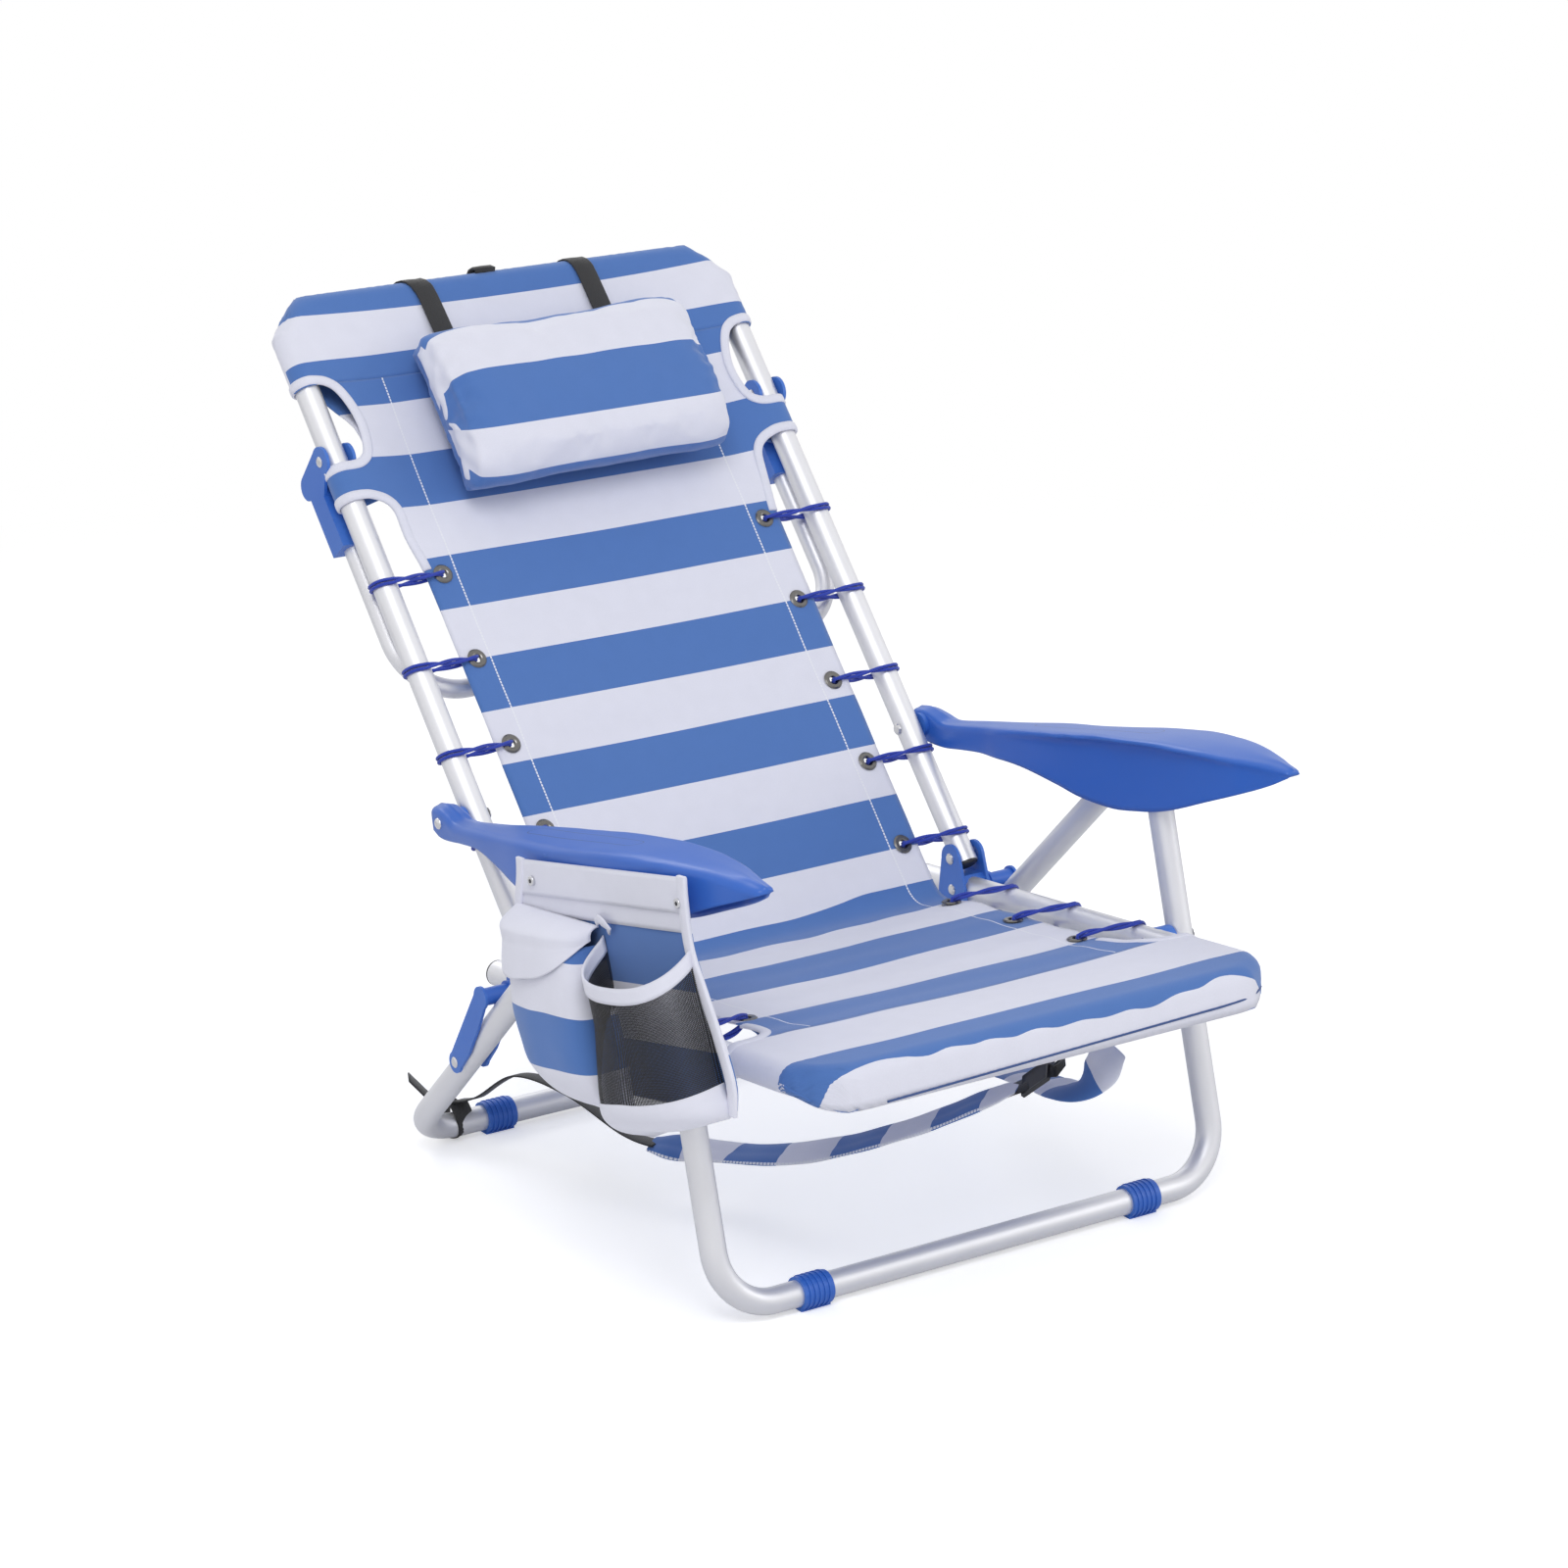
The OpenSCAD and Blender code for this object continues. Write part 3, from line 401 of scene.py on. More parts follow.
def solidMaterial(name, colour, roughness, metallic=0.0, grain=(700, 0.08), bump=0.1, edge=0.0,
                  edgeColour=(0.8, 0.8, 0.8)):
    made, tree, out = newMaterial(name)
    shader = addNode(tree, "BsdfPrincipled", Metallic=metallic)
    place = addNode(tree, "TexCoord").outputs["Object"]
    fine = useGroup(tree, grainGroup, Vector=place, Scale=grain[0], Strength=grain[1])
    base = shaded(tree, colour, fine["Shade"])
    if edge:
        rub = useGroup(tree, edgeGroup, Amount=edge)
        base = mixColour(tree, rub["Mask"], base, edgeColour)
    wear = calculate(tree, "MULTIPLY", fine["Shade"], roughness)
    feed(tree, {"Base Color": base, "Roughness": wear}, shader.inputs)
    addBump(tree, fine["Height"], 0.0002, bump, shader)
    tree.links.new(shader.outputs[0], out.inputs["Surface"])
    return made


clothBlue = (0.075, 0.185, 0.5)
clothWhite = (0.78, 0.785, 0.885)
threadWhite = (0.86, 0.87, 0.93)


def clothMaterial(name, striped=True, stitches=(), mottle=0.12, tone=None):
    made, tree, out = newMaterial(name)
    cloth = uvOf(tree, "cloth")
    shader = addNode(tree, "BsdfPrincipled", Roughness=0.85, Sheen_Weight=0.25, Sheen_Roughness=0.5)
    weave = useGroup(tree, weaveGroup, Vector=cloth, Threads=900.0, Mottle=mottle)
    spread = splitVector(tree, cloth)
    base = tone or clothWhite
    if striped:
        number = splitVector(tree, uvOf(tree, "stripe"))
        halves = calculate(tree, "MULTIPLY", number["X"], 0.5)
        isBlue = calculate(tree, "LESS_THAN", calculate(tree, "FRACT", halves), 0.5)
        base = mixColour(tree, isBlue, clothWhite, clothBlue)
    colour = shaded(tree, base, weave["Shade"])
    height = weave["Height"]
    for across, place, pitch in stitches:
        line = useGroup(tree, stitchGroup, Across=spread["uv".index(across)],
                        Along=spread["vu".index(across)], Place=place, Pitch=pitch)
        colour = mixColour(tree, line["Mask"], colour, threadWhite)
        height = calculate(tree, "ADD", height, line["Mask"])
    tree.links.new(colour, shader.inputs["Base Color"])
    addBump(tree, height, 0.0004, 0.35, shader)
    tree.links.new(shader.outputs[0], out.inputs["Surface"])
    return made


def webbingMaterial(name, colour, ribs):
    made, tree, out = newMaterial(name)
    shader = addNode(tree, "BsdfPrincipled", Roughness=0.7, Sheen_Weight=0.2)
    weave = useGroup(tree, weaveGroup, Vector=uvOf(tree, "cloth"), Threads=ribs, Mottle=0.5)
    tree.links.new(shaded(tree, colour, weave["Shade"]), shader.inputs["Base Color"])
    addBump(tree, weave["Height"], 0.0006, 0.6, shader)
    tree.links.new(shader.outputs[0], out.inputs["Surface"])
    return made


def meshMaterial(name, colour, pitch, holes):
    made, tree, out = newMaterial(name)
    cloth = uvOf(tree, "cloth")
    spread = splitVector(tree, cloth)
    ways = []
    for axis in ("X", "Y"):
        turn = calculate(tree, "FRACT", calculate(tree, "DIVIDE", spread[axis], pitch))
        ways.append(calculate(tree, "LESS_THAN", turn, holes))
    gaps = calculate(tree, "MULTIPLY", ways[0], ways[1])
    fine = calculate(tree, "ADD", noiseNode(tree, cloth, 60, 2), 0.6)
    shader = addNode(tree, "BsdfPrincipled", Roughness=0.6, Base_Color=shaded(tree, colour, fine),
                     Alpha=calculate(tree, "SUBTRACT", 1.0, gaps))
    tree.links.new(shader.outputs[0], out.inputs["Surface"])
    return made


mouldedBlue = (0.03, 0.135, 0.56)
materials = {
    "alu": solidMaterial("satinAluminium", (0.76, 0.76, 0.79), 0.44, metallic=0.7, grain=(1500, 0.06),
                         bump=0.06),
    "plastic": solidMaterial("blueMoulding", mouldedBlue, 0.36, grain=(900, 0.06), bump=0.12, edge=0.25,
                             edgeColour=(0.12, 0.3, 0.75)),
    "black": solidMaterial("blackMoulding", (0.03, 0.03, 0.034), 0.45, grain=(900, 0.3), bump=0.2),
    "steel": solidMaterial("platedSteel", (0.68, 0.68, 0.7), 0.24, metallic=1.0, grain=(1200, 0.1),
                           bump=0.05),
    "gunmetal": solidMaterial("gunmetal", (0.17, 0.165, 0.16), 0.28, metallic=1.0, grain=(1000, 0.25),
                              bump=0.1),
    "striped": clothMaterial("stripedCloth", stitches=[("u", 0.174, 0.0034), ("u", -0.174, 0.0034)]),
    "plainStriped": clothMaterial("stripedClothPlain"),
    "white": clothMaterial("whiteCloth", striped=False),
    "navy": clothMaterial("navyCloth", striped=False, tone=(0.035, 0.08, 0.25)),
    "binding": clothMaterial("whiteBinding", striped=False, mottle=0.2),
    "cord": webbingMaterial("braidedCord", (0.015, 0.045, 0.42), 420.0),
    "webbing": webbingMaterial("blackWebbing", (0.016, 0.016, 0.018), 360.0),
    "net": meshMaterial("blackNet", (0.012, 0.012, 0.014), 0.0016, 0.62),
}


def paint(piece, key):
    piece.data.materials.clear()
    piece.data.materials.append(materials[key])


hardware = {
    "alu": ["seat_frame", "back_frame", "front_leg_frame", "rear_leg_frame", "towel_bar"],
    "black": ["rail_end_plugs", "back_end_plugs", "rear_leg_plugs", "leg_knuckle_left", "leg_knuckle_right"],
    "plastic": ["hinge_bracket_left", "hinge_bracket_right", "leg_spacers", "towel_fork_left",
                "towel_fork_right", "front_feet", "rear_feet", "link_left", "link_right", "armrest_left",
                "armrest_right"],
    "steel": ["bracket_rivets", "back_pivot_rivets", "leg_bolts", "armrest_bolts", "towel_rivets",
              "pouch_rivets", "knuckle_rivets", "leg_pins", "link_rivets"],
    "gunmetal": ["seat_eyelets", "back_eyelets"],
}
for key, names in hardware.items():
    for nodeName in names:
        paint(frame["nodes"][nodeName], key)
print("hardware finished")


# sheets, ribbons and round things that the soft pieces are made from
def finishMesh(name, shape, key, body=None, outwards=False):
    if outwards:
        bmesh.ops.recalc_face_normals(shape, faces=shape.faces)
    mesh = toMesh(shape, name)
    for face in mesh.polygons:
        face.use_smooth = True
    mesh.materials.append(materials[key])
    return link(name, mesh, body)


def sheetShape(columns, rows, place):
    # place gives a point, cloth metres across and along, and a stripe count
    shape = bmesh.new()
    bmesh.ops.create_grid(shape, x_segments=columns, y_segments=rows, size=0.5)
    cloth = shape.loops.layers.uv.new("cloth")
    stripe = shape.loops.layers.uv.new("stripe")
    facts = {}
    for vert in shape.verts:
        facts[vert.index] = place(vert.co.x + 0.5, vert.co.y + 0.5)
    for face in shape.faces:
        for loop in face.loops:
            across, along, count = facts[loop.vert.index][1:]
            loop[cloth].uv = (across, along)
            loop[stripe].uv = (count, 0.5)
    for vert in shape.verts:
        vert.co = facts[vert.index][0]
    return shape


def addModifier(piece, kind, **values):
    modifier = piece.modifiers.new(kind.lower(), kind)
    for label, value in values.items():
        setattr(modifier, label, value)
    return modifier


def thicken(piece, thickness, offset=0.0):
    addModifier(piece, "SOLIDIFY", thickness=thickness * mm, offset=offset, use_even_offset=True)


def bake(piece):  # applies the modifiers
    graph = bpy.context.evaluated_depsgraph_get()
    made = bpy.data.meshes.new_from_object(piece.evaluated_get(graph), depsgraph=graph)
    old = piece.data
    piece.modifiers.clear()
    piece.data = made
    made.name = piece.name
    bpy.data.meshes.remove(old)


def ribbonShape(points, ups, section, shape=None, stripe=None):
    # a section of (side, up) millimetres carried along points, with the up of each point given
    shape = shape or bmesh.new()
    cloth = shape.loops.layers.uv.get("cloth") or shape.loops.layers.uv.new("cloth")
    band = shape.loops.layers.uv.get("stripe") or shape.loops.layers.uv.new("stripe")
    rings = []
    lengths = runningLengths(points)
    for i, point in enumerate(points):
        ahead = (points[min(i + 1, len(points) - 1)] - points[max(i - 1, 0)]).normalized()
        side = ahead.cross(ups[i]).normalized()
        up = side.cross(ahead).normalized()
        profile = section(lengths[i]) if callable(section) else section
        rings.append([shape.verts.new(point + side * (a * mm) + up * (b * mm)) for a, b in profile])
    count = len(rings[0])
    profile = section(0) if callable(section) else section
    around = [0.0]
    for k in range(count):
        (a, b), (c, d) = profile[k], profile[(k + 1) % count]
        around.append(around[-1] + math.hypot(c - a, d - b) * mm)
    for i in range(len(rings) - 1):
        for k in range(count):
            m = (k + 1) % count
            face = shape.faces.new((rings[i][k], rings[i][m], rings[i + 1][m], rings[i + 1][k]))
            spots = ((around[k], i), (around[k + 1], i), (around[k + 1], i + 1), (around[k], i + 1))
            for loop, (across, row) in zip(face.loops, spots):
                loop[cloth].uv = (across, lengths[row])
                loop[band].uv = (stripe(lengths[row]) if stripe else 0.5, 0.5)
    for ring in (rings[0], rings[-1]):
        for loop in shape.faces.new(ring).loops:
            loop[cloth].uv = (0, 0)
            loop[band].uv = (stripe(0) if stripe else 0.5, 0.5)
    return shape


def ringSection(radius, count):
    turns = [math.radians(a) for a in range(0, 360, 360 // count)]
    return [(radius * math.cos(a), radius * math.sin(a)) for a in turns]


def growEdges(shape, edges, move, cover):  # one more row of faces; move places its points, cover maps them
    cloth, stripe = shape.loops.layers.uv["cloth"], shape.loops.layers.uv["stripe"]
    made = bmesh.ops.extrude_edge_only(shape, edges=edges)["geom"]
    verts = only(made, bmesh.types.BMVert)
    for vert in verts:
        vert.co = move(vert.co)
    for face in only(made, bmesh.types.BMFace):
        for loop in face.loops:
            loop[cloth].uv, loop[stripe].uv = cover(loop.vert.co)
    return [edge for edge in only(made, bmesh.types.BMEdge) if all(vert in verts for vert in edge.verts)]


def smoothPath(points, step):  # a curve through points, with a spot every step metres
    dense = []
    for i in range(len(points) - 1):
        before = points[max(i - 1, 0)]
        a, b = points[i], points[i + 1]
        after = points[min(i + 2, len(points) - 1)]
        parts = max(1, int((b - a).length / step))
        for k in range(parts):
            t = k / parts
            dense.append(0.5 * ((2 * a) + (b - before) * t + (2 * before - 5 * a + 4 * b - after) * t * t
                                + (3 * a - before - 3 * b + after) * t ** 3))
    dense.append(points[-1])
    return dense


def waves(x, y, z=0.0):  # seeded soft noise near -0.5 to 0.5
    return noise.noise(Vector((x, y, z)))


# sling: one striped cloth from the front bar to the top of the back
sling = {"thick": 1.3, "columns": 72, "sag": 3.0, "laceEdge": 207, "tab": (485, 525), "tabEdge": 243,
         "crease": 163.8, "creaseBack": -38.4, "fillet": 20}
eyelets = {"across": 189.5, "radius": 5.4}
backLaces = {"places": (25, 118, 210, 303, 396.5), "level": 2.0, "shift": -5}
seatLaces = {"places": (-80, 20, 120), "level": 7.0, "shift": -26}
seatWidths = [[-158, 243], [-156, 238], [-151, 227], [-143, 217], [-131, 210.5], [-116, 207.5], [-100, 207]]
backWidths = [[405, 207.5], [413, 209], [441, 213], [465, 214], [473, 217], [479, 223], [483, 233],
              [485, 243]]
cutWidths = [[525, 243], [527, 237], [531, 229.5], [540, 224], [560, 220.5], [586, 224], [600, 230],
             [607, 236], [612, 243]]
seatLevels = [[-279.4, 14.4], [-158, 11.8], [-80, 7.6], [0, 7.0], [100, 6.6], [140, 3.5], [163.8, 0]]
seatStripes = [(-294, -8), (-246, -7), (-162, -6), (-89, -5), (-7, -4), (65, -3), (130, -2), (163.8, -1.4)]


def halfWidth(onTheBack, s):
    if not onTheBack:
        return track(seatWidths, s) if s < -100 else sling["laceEdge"]
    if s < 405:
        return sling["laceEdge"] + 0.5 * smooth(300, 405, s)
    if s < sling["tab"][0]:
        return track(backWidths, s)
    return sling["tabEdge"] if s <= sling["tab"][1] else track(cutWidths, s)


def seatLevel(x, y):
    rise = smooth(160, 252, abs(x)) * smooth(-112, -150, y)
    level = mix(track(seatLevels, y), tube["clothed"], rise)
    quiet = smooth(-279, -262, y) * smooth(215, 195, abs(x)) if y < -150 else 1
    fold = 2.2 * waves(x * 0.006, y * 0.028, 3.1) * smooth(-250, -120, y)
    return level - 2.5 * smooth(207, 0, abs(x)) * smooth(-250, -60, y) * smooth(163, 90, y) + fold * quiet


def backLevel(x, s):
    level = 2.0 + 11.5 * smooth(470, 725, s) + 0.9 * smooth(640, 700, s)
    level -= sling["sag"] * smooth(207, 0, abs(x)) * smooth(-38, 60, s) * smooth(640, 480, s)
    rise = smooth(165, 252, abs(x)) * smooth(430, 492, s)
    level = mix(level, tube["clothed"], rise)
    return level + 1.5 * waves(x * 0.007, s * 0.02, 7.7) * smooth(252, 200, abs(x)) * smooth(700, 640, s)


def stripeOnSeat(x, y):
    wander = 0.05 * waves(x * 0.012, 2.0) + 0.12 * waves(x * 0.02, 5.0) * smooth(40, 120, y)
    for (a, m), (b, n) in zip(seatStripes, seatStripes[1:]):
        if y <= b:
            return m + (n - m) * (y - a) / (b - a) + wander
    return -1.4 + wander


def stripeOnBack(x, s):
    edge = sling["creaseBack"] + 10 + 12 * smooth(30, 130, x)
    if s < edge:
        return -1.4 + 0.4 * (s - sling["creaseBack"]) / (edge - sling["creaseBack"])
    if s < 22:
        return -1 + (s - edge) / (22 - edge)
    lean = 3 * smooth(583, 640, s) + (4 + 10 * max(0, 1 - (x / 262) ** 2)) * smooth(640, 696, s)
    return (s + lean - 22) / 56.18


def slingRows():  # (on the back, where) from the front join to the top join
    rows = [(False, y) for y in (-158, -157, -156, -154, -151, -147, -143, -137, -131, -124, -116, -108,
                                 -100)]
    rows += [(False, -100 + 6.1 * k) for k in range(1, 40)]
    rows += [(None, k / 8) for k in range(9)]
    rows += [(True, -12 + 6.95 * k) for k in range(60)]
    rows += [(True, s) for s in (405, 413, 420, 428, 435, 441, 449, 457, 465, 469, 473, 476, 479, 481, 483,
                                 485)]
    rows += [(True, 485 + 5 * k) for k in range(1, 9)]
    rows += [(True, s) for s in (526, 527, 529, 531, 535, 540, 546, 553, 560, 568, 577, 586, 593, 600, 604,
                                 607, 609.5, 612)]
    return rows


creaseEnds = (sling["crease"] - sling["fillet"] - 4, sling["creaseBack"] + sling["fillet"] + 4)


def slingPoint(row, x):
    onTheBack, where = row
    if onTheBack is None:  # rounded through the crease
        low, high = creaseEnds
        a = onSeat(x, low, seatLevel(x, low))
        c = onBack(x, high, backLevel(x, high))
        b = onSeat(x, sling["crease"], 0)
        return a * (1 - where) ** 2 + b * (2 * where * (1 - where)) + c * where ** 2
    return onBack(x, where, backLevel(x, where)) if onTheBack else onSeat(x, where, seatLevel(x, where))


def makeSling():
    rows = slingRows()
    along = runningLengths([slingPoint(row, 0) for row in rows])

    def place(f, g):
        number = round(g * (len(rows) - 1))
        onTheBack, where = rows[number]
        width = sling["laceEdge"] if onTheBack is None else halfWidth(onTheBack, where)
        x = width * (2 * f - 1)
        if onTheBack is None:
            count = mix(stripeOnSeat(x, creaseEnds[0]), stripeOnBack(x, creaseEnds[1]), where)
        else:
            count = stripeOnBack(x, where) if onTheBack else stripeOnSeat(x, where)
        return slingPoint(rows[number], x), x * mm, along[number], count

    shape = sheetShape(sling["columns"], len(rows) - 1, place)
    addTabs(shape)
    piece = finishMesh("sling", shape, "striped")
    thicken(piece, sling["thick"])
    cutter = makeEyeletCutter()
    addModifier(piece, "BOOLEAN", operation="DIFFERENCE", solver="EXACT", object=cutter)
    bake(piece)
    bpy.data.objects.remove(cutter)
    return piece


def addTabs(shape):  # the tabs grow from the sheet's edges and go round the rails
    low, high = sling["tab"]
    half, r = tube["rail"], tube["clothed"]
    route = [(249, 14.3), (half, r)]
    turns = [math.radians(a) for a in range(20, 181, 20)]
    route += [(half + r * math.sin(a), r * math.cos(a)) for a in turns]
    route += [(246, -12.5), (238, -7.5), (230, -1), (223, 4)]

    def onTab(edge, sign):
        spots = [backLocal(vert.co) for vert in edge.verts]
        return all(low - 0.5 < up < high + 0.5 and x * sign > sling["tabEdge"] - 1.5 for x, up, out in spots)

    for sign in (-1, 1):
        edges = [edge for edge in shape.edges if edge.is_boundary and onTab(edge, sign)]
        span = sling["tabEdge"]
        for x, n in route:
            span += 6.2

            def move(point):
                return onBack(sign * x, backLocal(point)[1], n)

            def cover(point):
                up = backLocal(point)[1]
                return (sign * span * mm, up * mm), (stripeOnBack(0, up), 0.5)

            edges = growEdges(shape, edges, move, cover)


def makeEyeletCutter():
    shape = bmesh.new()
    radius = eyelets["radius"] * mm
    for placeAt, facts, up in ((onSeat, seatLaces, seatUp), (onBack, backLaces, backOut)):
        turn = Vector((0, 0, 1)).rotation_difference(up).to_matrix().to_4x4()
        for s in facts["places"]:
            for sign in (-1, 1):
                spot = Matrix.Translation(placeAt(sign * eyelets["across"], s, facts["level"])) @ turn
                bmesh.ops.create_cone(shape, cap_ends=True, segments=24, radius1=radius, radius2=radius,
                                      depth=0.03, matrix=spot)
    return link("eyeletCutter", toMesh(shape, "eyeletCutter"))


slingPiece = makeSling()
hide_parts("seat_sling", "back_sling")
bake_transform(slingPiece)
print("sling laid")


# sleeves: the cap over the top of the back and the bag over the front of the seat
cap = {"mouth": 612, "bar": tube["topBar"], "rim": tube["clothed"], "drop": 0, "under": 0, "lip": 541,
       "lipHalf": 226, "peak": 4.0, "pucker": 0.7, "columns": 96, "rows": 30}
bag = {"mouth": 158, "bar": 279.4, "rim": tube["clothed"], "drop": 25, "under": -38, "lip": 106,
       "lipHalf": 208, "peak": 3.0, "pucker": 1.1, "columns": 96, "rows": 34}
sleeves = {"thick": 1.3, "quarter": 6, "lipStart": 237, "lipSteps": 6}


def centreLine(facts, alongSide, f):  # point on the tube's centre line and the way outwards, for x over 0
    bend, half = tube["bend"], tube["rail"]
    middle = Vector((half - bend, facts["bar"] - bend))
    if alongSide:
        straight = facts["bar"] - bend - facts["mouth"]
        d = f * (straight + bend * math.pi / 4)
        if d < straight:
            return Vector((half, facts["mouth"] + d)), Vector((1, 0))
        a = (d - straight) / bend
    else:
        d = f * (half - bend + bend * math.pi / 4)
        if d < half - bend:
            return Vector((d, facts["bar"])), Vector((0, 1))
        a = math.pi / 2 - (d - half + bend) / bend
    way = Vector((math.cos(a), math.sin(a)))
    return middle + way * bend, way


def rimSpot(facts, way, core, k, deep, under):  # how far out of the centre line, and how far up
    r, quarter = facts["rim"], sleeves["quarter"]
    a = math.degrees(math.atan2(way.y, way.x))
    corner = smooth(4, 20, a) * smooth(86, 70, a)
    humps = math.exp(-((a - 20) / 9) ** 2) + math.exp(-((a - 68) / 9) ** 2)
    peak = facts["peak"] * humps if 0 < a < 90 else 0
    crimp = facts["pucker"] * math.sin((core.x + core.y) * 0.55 + 2 * waves(core.x * 0.05, core.y * 0.05))
    crimp *= 0.25 + 0.75 * corner
    drop = facts["drop"] * smooth(0.25, 0.95, way.y)
    if not under:
        if k >= deep:
            turn = math.radians(90 * (k - deep) / quarter)
        else:
            turn = math.radians(facts["under"] * (deep - k) / max(deep, 1))
        out, up = r * math.cos(turn), r * math.sin(turn)
        if k < deep and drop:
            w = drop / facts["drop"]
            out = mix(out, r + 0.6, w)
            up = mix(up, -facts["drop"] * (deep - k) / deep, w)
    else:
        first = facts["under"] if deep else 0
        turn = math.radians(mix(first, -90, k / quarter))
        out, up = r * math.cos(turn), r * math.sin(turn)
        if drop:
            w = drop / facts["drop"]
            out = mix(out, (r + 0.6) * (1 - k / quarter), w)
            up = mix(up, mix(-facts["drop"], -r - 1, smooth(0, quarter, k)), w)
    near = math.cos(turn)
    return out + (peak + crimp) * near, up + crimp * 0.5 * near


def sleeveLayer(facts, placeAt, level, stripeAt, under):
    deep = 3 if facts["drop"] and not under else 0
    quarter = sleeves["quarter"]
    rings = quarter + deep
    columns, rows = facts["columns"], facts["rows"] + deep

    def core(alongSide, f, sign):
        spot, way = centreLine(facts, alongSide, f)
        return Vector((spot.x * sign, spot.y)), Vector((way.x * sign, way.y))

    def place(f, g):
        i = round(f * columns) - columns // 2
        j = round(g * rows)
        sign = -1 if i < 0 else 1
        k = min(columns // 2 - abs(i), rows - j)
        reach = 0
        if k < rings:
            wide, tall = columns // 2 - k, rows - k
            alongSide = abs(i) == wide
            spot, way = core(alongSide, j / tall if alongSide else abs(i) / wide, sign)
            out, up = rimSpot(facts, Vector((abs(way.x), way.y)), spot, k, deep, under)
            plan = spot + way * out
            if under:
                reach = math.pi * facts["rim"] * way.y
            else:
                reach = (facts["rim"] * math.radians(90 * (rings - k) / quarter)) * way.y
            t = spot.y
        else:
            u = i / (columns // 2 - rings)
            v = j / (rows - rings)
            wide = tube["rail"]
            low = Vector((wide * u, facts["mouth"]))
            top = core(False, abs(u), sign)[0]
            left, right = core(True, v, -1)[0], core(True, v, 1)[0]
            a, b = (1 - u) / 2, (1 + u) / 2
            ends = [core(True, h, s)[0] for h in (0, 1) for s in (-1, 1)]
            plan = (low * (1 - v) + top * v + left * a + right * b
                    - (ends[0] * a + ends[1] * b) * (1 - v) - (ends[2] * a + ends[3] * b) * v)
            t = plan.y
            if under:
                reach = math.pi * facts["rim"]
                edge = min(smooth(254, 190, abs(plan.x)), smooth(facts["bar"], facts["bar"] - 60, plan.y))
                up = -facts["rim"] - (1 if facts["drop"] else 0) + 4 * edge
                up += 1.5 * waves(plan.x * 0.01, plan.y * 0.02)
            else:
                up = level(plan.x, plan.y)
        if under and not facts["drop"]:
            count = stripeAt(plan.x, 2 * facts["bar"] - t + reach)
        else:
            count = stripeAt(plan.x, t + (0 if under else reach))
        return placeAt(plan.x, plan.y, up), plan.x * mm, (t + reach) * mm, count

    return sheetShape(columns, rows, place)


def addLip(shape, facts, toLocal, placeAt, level, stripeAt):
    # the under layer runs on and is sewn to the sling
    start, steps = sleeves["lipStart"], sleeves["lipSteps"]

    def atMouth(edge):
        spots = [toLocal(vert.co) for vert in edge.verts]
        return all(abs(x) < start and abs(t - facts["mouth"]) < 1 for x, t, n in spots)

    def cover(point):
        x, t, n = toLocal(point)
        return (x * mm, t * mm), (stripeAt(x, t), 0.5)

    edges = [edge for edge in shape.edges if edge.is_boundary and atMouth(edge)]
    before = start
    for k in range(1, steps + 1):
        f = k / steps
        width = mix(start, facts["lipHalf"] - 3, smooth(0, 0.7, f))

        def move(point):
            x = toLocal(point)[0] * (width / before)
            t = mix(facts["mouth"], facts["lip"], f)
            return placeAt(x, t, mix(-facts["rim"] + 3, level(x, t) - 2.2, smooth(0, 1, f)))

        edges = growEdges(shape, edges, move, cover)
        before = width


def makeSleeve(name, facts, placeAt, toLocal, level, stripeAt, body):
    front = sleeveLayer(facts, placeAt, level, stripeAt, False)
    back = sleeveLayer(facts, placeAt, level, stripeAt, True)
    addLip(back, facts, toLocal, placeAt, level, stripeAt)
    spare = toMesh(back, "spare")
    front.from_mesh(spare)
    bpy.data.meshes.remove(spare)
    bmesh.ops.remove_doubles(front, verts=front.verts, dist=0.0003)
    bmesh.ops.recalc_face_normals(front, faces=front.faces)
    piece = finishMesh(name, front, "plainStriped", body)
    thicken(piece, sleeves["thick"])
    return piece


def bagLevel(x, t):
    return seatLevel(x, -t)


def bagStripe(x, t):
    wander = 0.16 * waves(x * 0.024, 9.0) + 0.1 * math.cos(x * 0.012 - 0.6)
    return stripeOnSeat(x, -t) + wander * smooth(262, 290, t)


capPiece = makeSleeve("topCap", cap, onBack, backLocal, backLevel, stripeOnBack, "back")
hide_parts("back_sleeve")
bagPiece = makeSleeve("seatBag", bag, onBag, seatLocal, bagLevel, bagStripe, "seat")
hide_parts("seat_sleeve")


def bagPiping():  # fine blue cord sewn along the front face
    reach = bag["rim"] + 1.6
    spots = [(x, bag["bar"] + reach, mix(-23.5, -15, (x + 190) / 380)) for x in range(-190, 200, 20)]
    for k in range(1, 5):
        a = math.radians(90 - 11 * k)
        spots.append((tube["rail"] - tube["bend"] + (tube["bend"] + reach) * math.cos(a),
                      bag["bar"] - tube["bend"] + (tube["bend"] + reach) * math.sin(a), -14.5 + 0.6 * k))
    points = smoothPath([onBag(*spot) for spot in spots], 5 * mm)
    shape = ribbonShape(points, [seatUp] * len(points), ringSection(1.1, 6))
    piping = finishMesh("bagPiping", shape, "navy", "seat", outwards=True)


bagPiping()
print("sleeves fitted")


# bound edges
bindingFacts = {"width": 8.5, "step": 2.2}


def bindingSection(swell):
    w = bindingFacts["width"]
    return [(-1.4, 0.0), (-0.6, 1.5), (3, 1.9 + swell), (w - 1.5, 1.7), (w, 0.9), (w, -0.9), (w - 1.5, -1.7),
            (3, -1.9 - swell), (-0.6, -1.5)]


